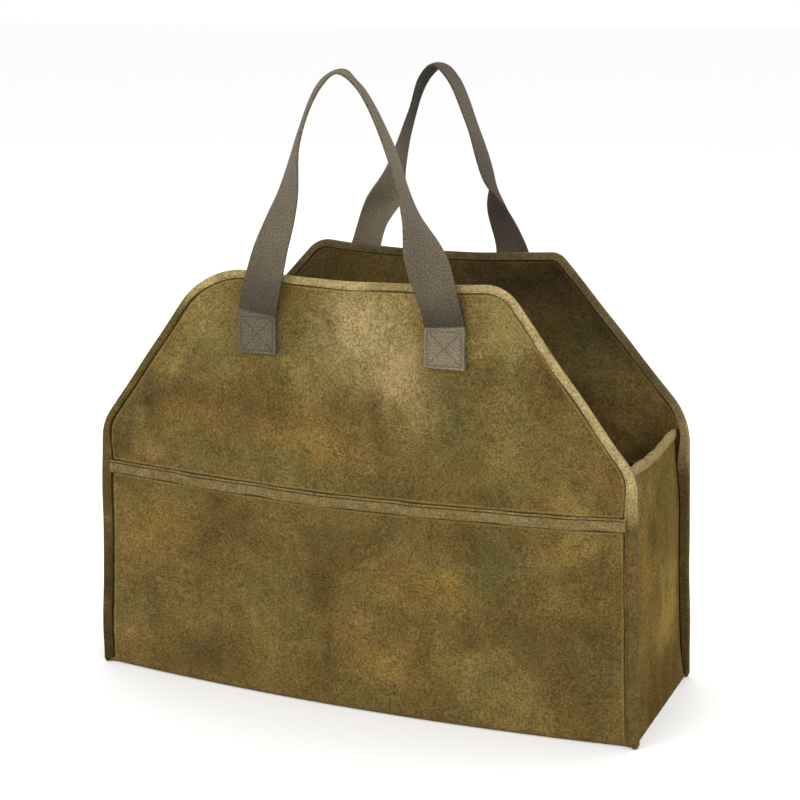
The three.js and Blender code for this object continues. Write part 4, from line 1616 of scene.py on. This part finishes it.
@dataclass(frozen=True)
class Run:
    """A handle's webbing from one hidden edge over the loop to the other.

    points are the rows of x, y and z along its middle. shape holds turn, lift, cup and tone at
    each of them. free and boxed are 1 where it hangs free and where it is a box's outer layer.
    """

    points: Array
    shape: Array
    free: Array
    boxed: Array

    def directions(self) -> tuple[Array, Array]:
        """Gives the directions of the webbing's width and of its outer face.

        Returns:
            Both, as rows of x, y and z.
        """
        along = np.gradient(self.points, axis=0)
        along /= np.linalg.norm(along, axis=1)[:, None]
        turn, lift = np.radians(self.shape[:, :2]).T
        wide = np.stack([np.cos(turn) * np.cos(lift), -np.sin(turn) * np.cos(lift), np.sin(lift)], axis=1)
        wide -= along * np.sum(wide * along, axis=1)[:, None]
        wide /= np.linalg.norm(wide, axis=1)[:, None]
        return wide, np.cross(wide, along)


@dataclass
class Handles:
    """The two webbing handles, folded under and sewn down in a crossed box at each end.

    underlay is the thickness of the hidden layer with the gap under it, and solid_wall the wall of
    the solid webbing, in the middle of which this one lies.
    """

    width: float = 36 * MM
    wall: float = 1.7 * MM
    solid_wall: float = 2 * MM
    underlay: float = 2.3 * MM
    hidden_drop: float = 1.5 * MM
    loop_steps: int = 190
    box_step: float = 1.1 * MM
    width_steps: int = 36
    seam_inset: float = 2.6 * MM
    stitch_dip: float = 0.4 * MM
    stitch_width: float = 0.55 * MM
    finish: WebbingFinish = field(default_factory=WebbingFinish)

    def build(self) -> None:
        """Makes both handles."""
        webbing = self.finish.build("heathered_webbing")
        for side in (FRONT, REAR):
            self.handle(side, webbing)

    def spline(self, rows: Array, places: Array, centripetal: bool) -> Array:
        """Follows a smooth curve through rows of values.

        Args:
            rows: the values that it goes through.
            places: where it is read, from 0 at the first row to 1 at the last.
            centripetal: whether its speed follows the distances between the rows.

        Returns:
            The curve's values, one row for each place.
        """
        padded = np.vstack([2 * rows[0] - rows[1], rows, 2 * rows[-1] - rows[-2]])
        at = places * (len(rows) - 1)
        first = np.minimum(at.astype(int), len(rows) - 2)
        w = (at - first)[:, None]
        p0, p1, p2, p3 = (padded[first + k] for k in range(4))
        if centripetal:
            d0, d1, d2 = (
                np.linalg.norm(b - a, axis=1)[:, None] ** 0.5 for a, b in ((p0, p1), (p1, p2), (p2, p3))
            )
            t1 = ((p1 - p0) / d0 - (p2 - p0) / (d0 + d1) + (p2 - p1) / d1) * d1
            t2 = ((p2 - p1) / d1 - (p3 - p1) / (d1 + d2) + (p3 - p2) / d2) * d1
        else:
            t1, t2 = (p2 - p0) / 2, (p3 - p1) / 2
        curve = p1 + t1 * w + (3 * p2 - 3 * p1 - 2 * t1 - t2) * w**2
        return curve + (2 * p1 - 2 * p2 + t1 + t2) * w**3

    def sewn_run(self, side: Side, x: float) -> tuple[Array, Array]:
        """Follows a sewn end from its hidden edge down, round its fold and up to the box's top.

        Args:
            side: the long side.
            x: place of the leg.

        Returns:
            The points, and for each whether it lies in the outer layer.
        """
        back = self.underlay - CUT.gap - self.solid_wall / 2
        middle = self.underlay + self.solid_wall / 2
        foot = CUT.box_top - CUT.box_height
        radius = (middle - back) / 2
        down = np.arange(CUT.box_top - self.hidden_drop, foot + radius, -self.box_step * 2)
        turn = np.linspace(0, math.pi, 9)
        up = np.linspace(foot + radius, CUT.box_top, round(CUT.box_height / self.box_step))[1:]
        z = np.concatenate([down, foot + radius - radius * np.sin(turn), up])
        bend = (back + middle) / 2 - radius * np.cos(turn)
        out = np.concatenate([np.full(len(down), back), bend, np.full(len(up), middle)])
        across = np.full(len(z), x)
        outer = (np.arange(len(z)) > len(down) + len(turn) // 2) * 1.0
        return np.stack([across, CUT.skin(side, across, z, out), z], axis=1), outer

    def run(self, side: Side) -> Run:
        """Follows one handle from its left hidden edge to its right one.

        Args:
            side: the long side.

        Returns:
            The run of its webbing.
        """
        rows = np.array(side.loop, dtype=float)
        x = rows[:, 0] * side.spread / 2
        z = CUT.box_top + rows[:, 2] * side.rise
        out = self.underlay + self.solid_wall / 2 + rows[:, 1] * side.bulge
        loop = np.stack([x, CUT.skin(side, x, z, out), z], axis=1)
        ends = loop[[0, -1]] - [0, 0, CUT.box_height]
        spans = len(rows) + 1
        places = np.linspace(0, 1, self.loop_steps) * (spans - 2) / spans + 1 / spans
        loop = self.spline(np.vstack([ends[:1], loop, ends[1:]]), places, True)[1:-1]
        shape = self.spline(rows[[0, *range(len(rows)), -1], 3:], places, False)
        start, start_outer = self.sewn_run(side, x[0])
        finish, finish_outer = self.sewn_run(side, x[-1])
        counts = (len(start), len(loop), len(finish))
        ends_shape = [np.tile(shape[k], (count, 1)) for k, count in ((0, counts[0]), (-1, counts[2]))]
        return Run(
            points=np.vstack([start, loop, finish[::-1]]),
            shape=np.vstack([ends_shape[0], shape[1:-1], ends_shape[1]]),
            free=np.repeat([0.0, 1.0, 0.0], counts),
            boxed=np.concatenate([start_outer, np.zeros(counts[1]), finish_outer[::-1]]),
        )

    def handle(self, side: Side, webbing: bpy.types.Material) -> None:
        """Makes one handle.

        Args:
            side: the long side.
            webbing: its material.
        """
        run = self.run(side)
        points, count = run.points, len(run.points)
        lengths = lengths_along(points)
        wide, outward = run.directions()
        half = self.width / 2
        cup = run.shape[:, 2] * MM * run.free
        chord = half / (1 + (cup / half) ** 2 * 2 / 3)
        box_light_and_shade = np.where(np.arange(count) < count / 2, *side.box_light_and_shade)
        columns = np.linspace(-1, 1, self.width_steps + 1)

        def seam(w: Array, k: Array) -> Array:
            """Draws the stitches of the boxes: a frame and a cross.

            Args:
                w: places across the webbing, from -1 to 1.
                k: numbers of the run's points.

            Returns:
                1 on the stitches and 0 beside them.
            """
            up = points[k, 2] - (CUT.box_top - CUT.box_height)
            edge = np.minimum((1 - np.abs(w)) * half, np.minimum(up, CUT.box_height - up))
            middle, slant = up - CUT.box_height / 2, w * CUT.box_height / 2
            cross = np.minimum(np.abs(middle - slant), np.abs(middle + slant))
            frame_gap = edge - self.seam_inset
            near = np.minimum(np.abs(frame_gap), np.where(frame_gap > 0, cross, 1.0))
            return np.exp(-((near / self.stitch_width) ** 2)) * run.boxed[k]

        def place(w: Array, v: Array) -> Array:
            """Lays the webbing.

            Args:
                w: places across, from -1 to 1.
                v: places along, from 0 to 1.

            Returns:
                Rows of x, y and z.
            """
            k = np.rint(v * (count - 1)).astype(int)
            lower = cup[k] * w**2 + self.stitch_dip * seam(w, k)
            selvedge = 0.15 * MM * np.sin(lengths[k] / 0.006) * (np.abs(w) > 0.9)
            reach = w * chord[k] + np.sign(w) * selvedge
            return points[k] + wide[k] * reach[:, None] - outward[k] * lower[:, None]

        def flat(w: Array, v: Array) -> Array:
            """Gives the places on the flat webbing."""
            return np.stack([w * half, np.interp(v * (count - 1), range(count), lengths)], axis=1)

        piece = lay(f"{side.name}_webbing", columns, np.linspace(0, 1, count), place, flat)
        k = np.repeat(np.arange(count), len(columns))
        # Painted shade in the stitch grooves of the boxes.
        paint(piece, "groove", seam(np.tile(columns, count), k))
        # tone: painted light and shade, from the loop's rows and the boxes' brightness.
        paint(piece, "tone", np.where(run.free > 0, run.shape[:, 3], box_light_and_shade)[k])
        middles = points_of(piece)
        thicken(piece, self.wall, 0)
        layers = points_of(piece) - np.tile(middles, (2, 1))
        outer = np.sum(layers * np.tile(outward[k], (2, 1)), axis=1)
        # The webbing's inner face, where the finish paints shade.
        paint(piece, "inside", 1 - smooth(outer, -0.4 * MM, 0.4 * MM))
        settle(piece, Slot.WEBBING, webbing, f"{side.name}_handle")
        log.info("%s: %.3f m long with its folded ends", piece.name, lengths[-1])


@dataclass
class Studio:
    """The pale floor, the soft light and the camera."""

    floor_size: float = 60.0
    lamp_target: Place = (0.0, 0.0, 0.2)
    azimuth: float = 22.9
    elevation: float = 13.07
    distance: float = 1.6
    target: Place = (0.0063, 0.0, 0.2611)
    lens: float = 78.9
    sensor: float = 36.0

    def build(self) -> None:
        """Makes the floor, the lights and the camera."""
        self.floor()
        self.lights()
        self.camera()

    def floor(self) -> None:
        """Lays the floor that the carrier stands on."""
        bpy.ops.object.select_all(action="DESELECT")
        bpy.ops.mesh.primitive_plane_add(size=self.floor_size, location=(0, 0, 0))
        bpy.ops.object.transform_apply(location=True, rotation=True, scale=True)
        plane = bpy.context.active_object
        plane.name = "floor"
        shader = Shader("pale_floor")
        shader.surface.inputs["Base Color"].default_value = srgb(252, 252, 252)
        shader.surface.inputs["Roughness"].default_value = 0.9
        shader.surface.inputs["Specular IOR Level"].default_value = 0.0
        plane.data.materials.append(shader.material)

    def lights(self) -> None:
        """Hangs three soft lamps and lights the room."""
        world = bpy.data.worlds.new("studio")
        bpy.context.scene.world = world
        world.use_nodes = True
        inputs = world.node_tree.nodes["Background"].inputs
        inputs["Color"].default_value = (1.0, 1.0, 1.0, 1.0)
        inputs["Strength"].default_value = 1.0
        rows = (
            ("key", (-1.6, -2.4, 2.6), 2.2, 42.0),
            ("fill", (2.6, -1.2, 1.6), 2.4, 22.0),
            ("top", (0.2, 1.2, 2.8), 2.2, 24.0),
        )
        for name, place, size, power in rows:
            bpy.ops.object.light_add(type="AREA", location=place)
            lamp = bpy.context.active_object
            lamp.name = name
            lamp.data.shape = "DISK"
            lamp.data.size = size
            lamp.data.energy = power
            aim = Vector(self.lamp_target) - Vector(place)
            lamp.rotation_euler = aim.to_track_quat("-Z", "Y").to_euler()

    def camera(self) -> None:
        """Sets the camera up where the photograph was taken from."""
        turn, tilt = math.radians(self.azimuth), math.radians(self.elevation)
        back = Vector((math.sin(turn) * math.cos(tilt), -math.cos(turn) * math.cos(tilt), math.sin(tilt)))
        bpy.ops.object.camera_add(location=Vector(self.target) + back * self.distance)
        camera = bpy.context.active_object
        camera.rotation_euler = back.to_track_quat("Z", "Y").to_euler()
        camera.data.lens = self.lens
        camera.data.sensor_width = self.sensor
        bpy.context.scene.camera = camera
        bpy.context.scene.view_settings.view_transform = "Standard"


def main() -> None:
    """Makes the carrier and its studio."""
    logging.basicConfig(level=logging.INFO, format="%(message)s")
    for assembly in (Studio(), Panels(), Tapes(), Handles()):
        assembly.build()
    bpy.context.view_layer.update()


if __name__ == "__main__":
    main()
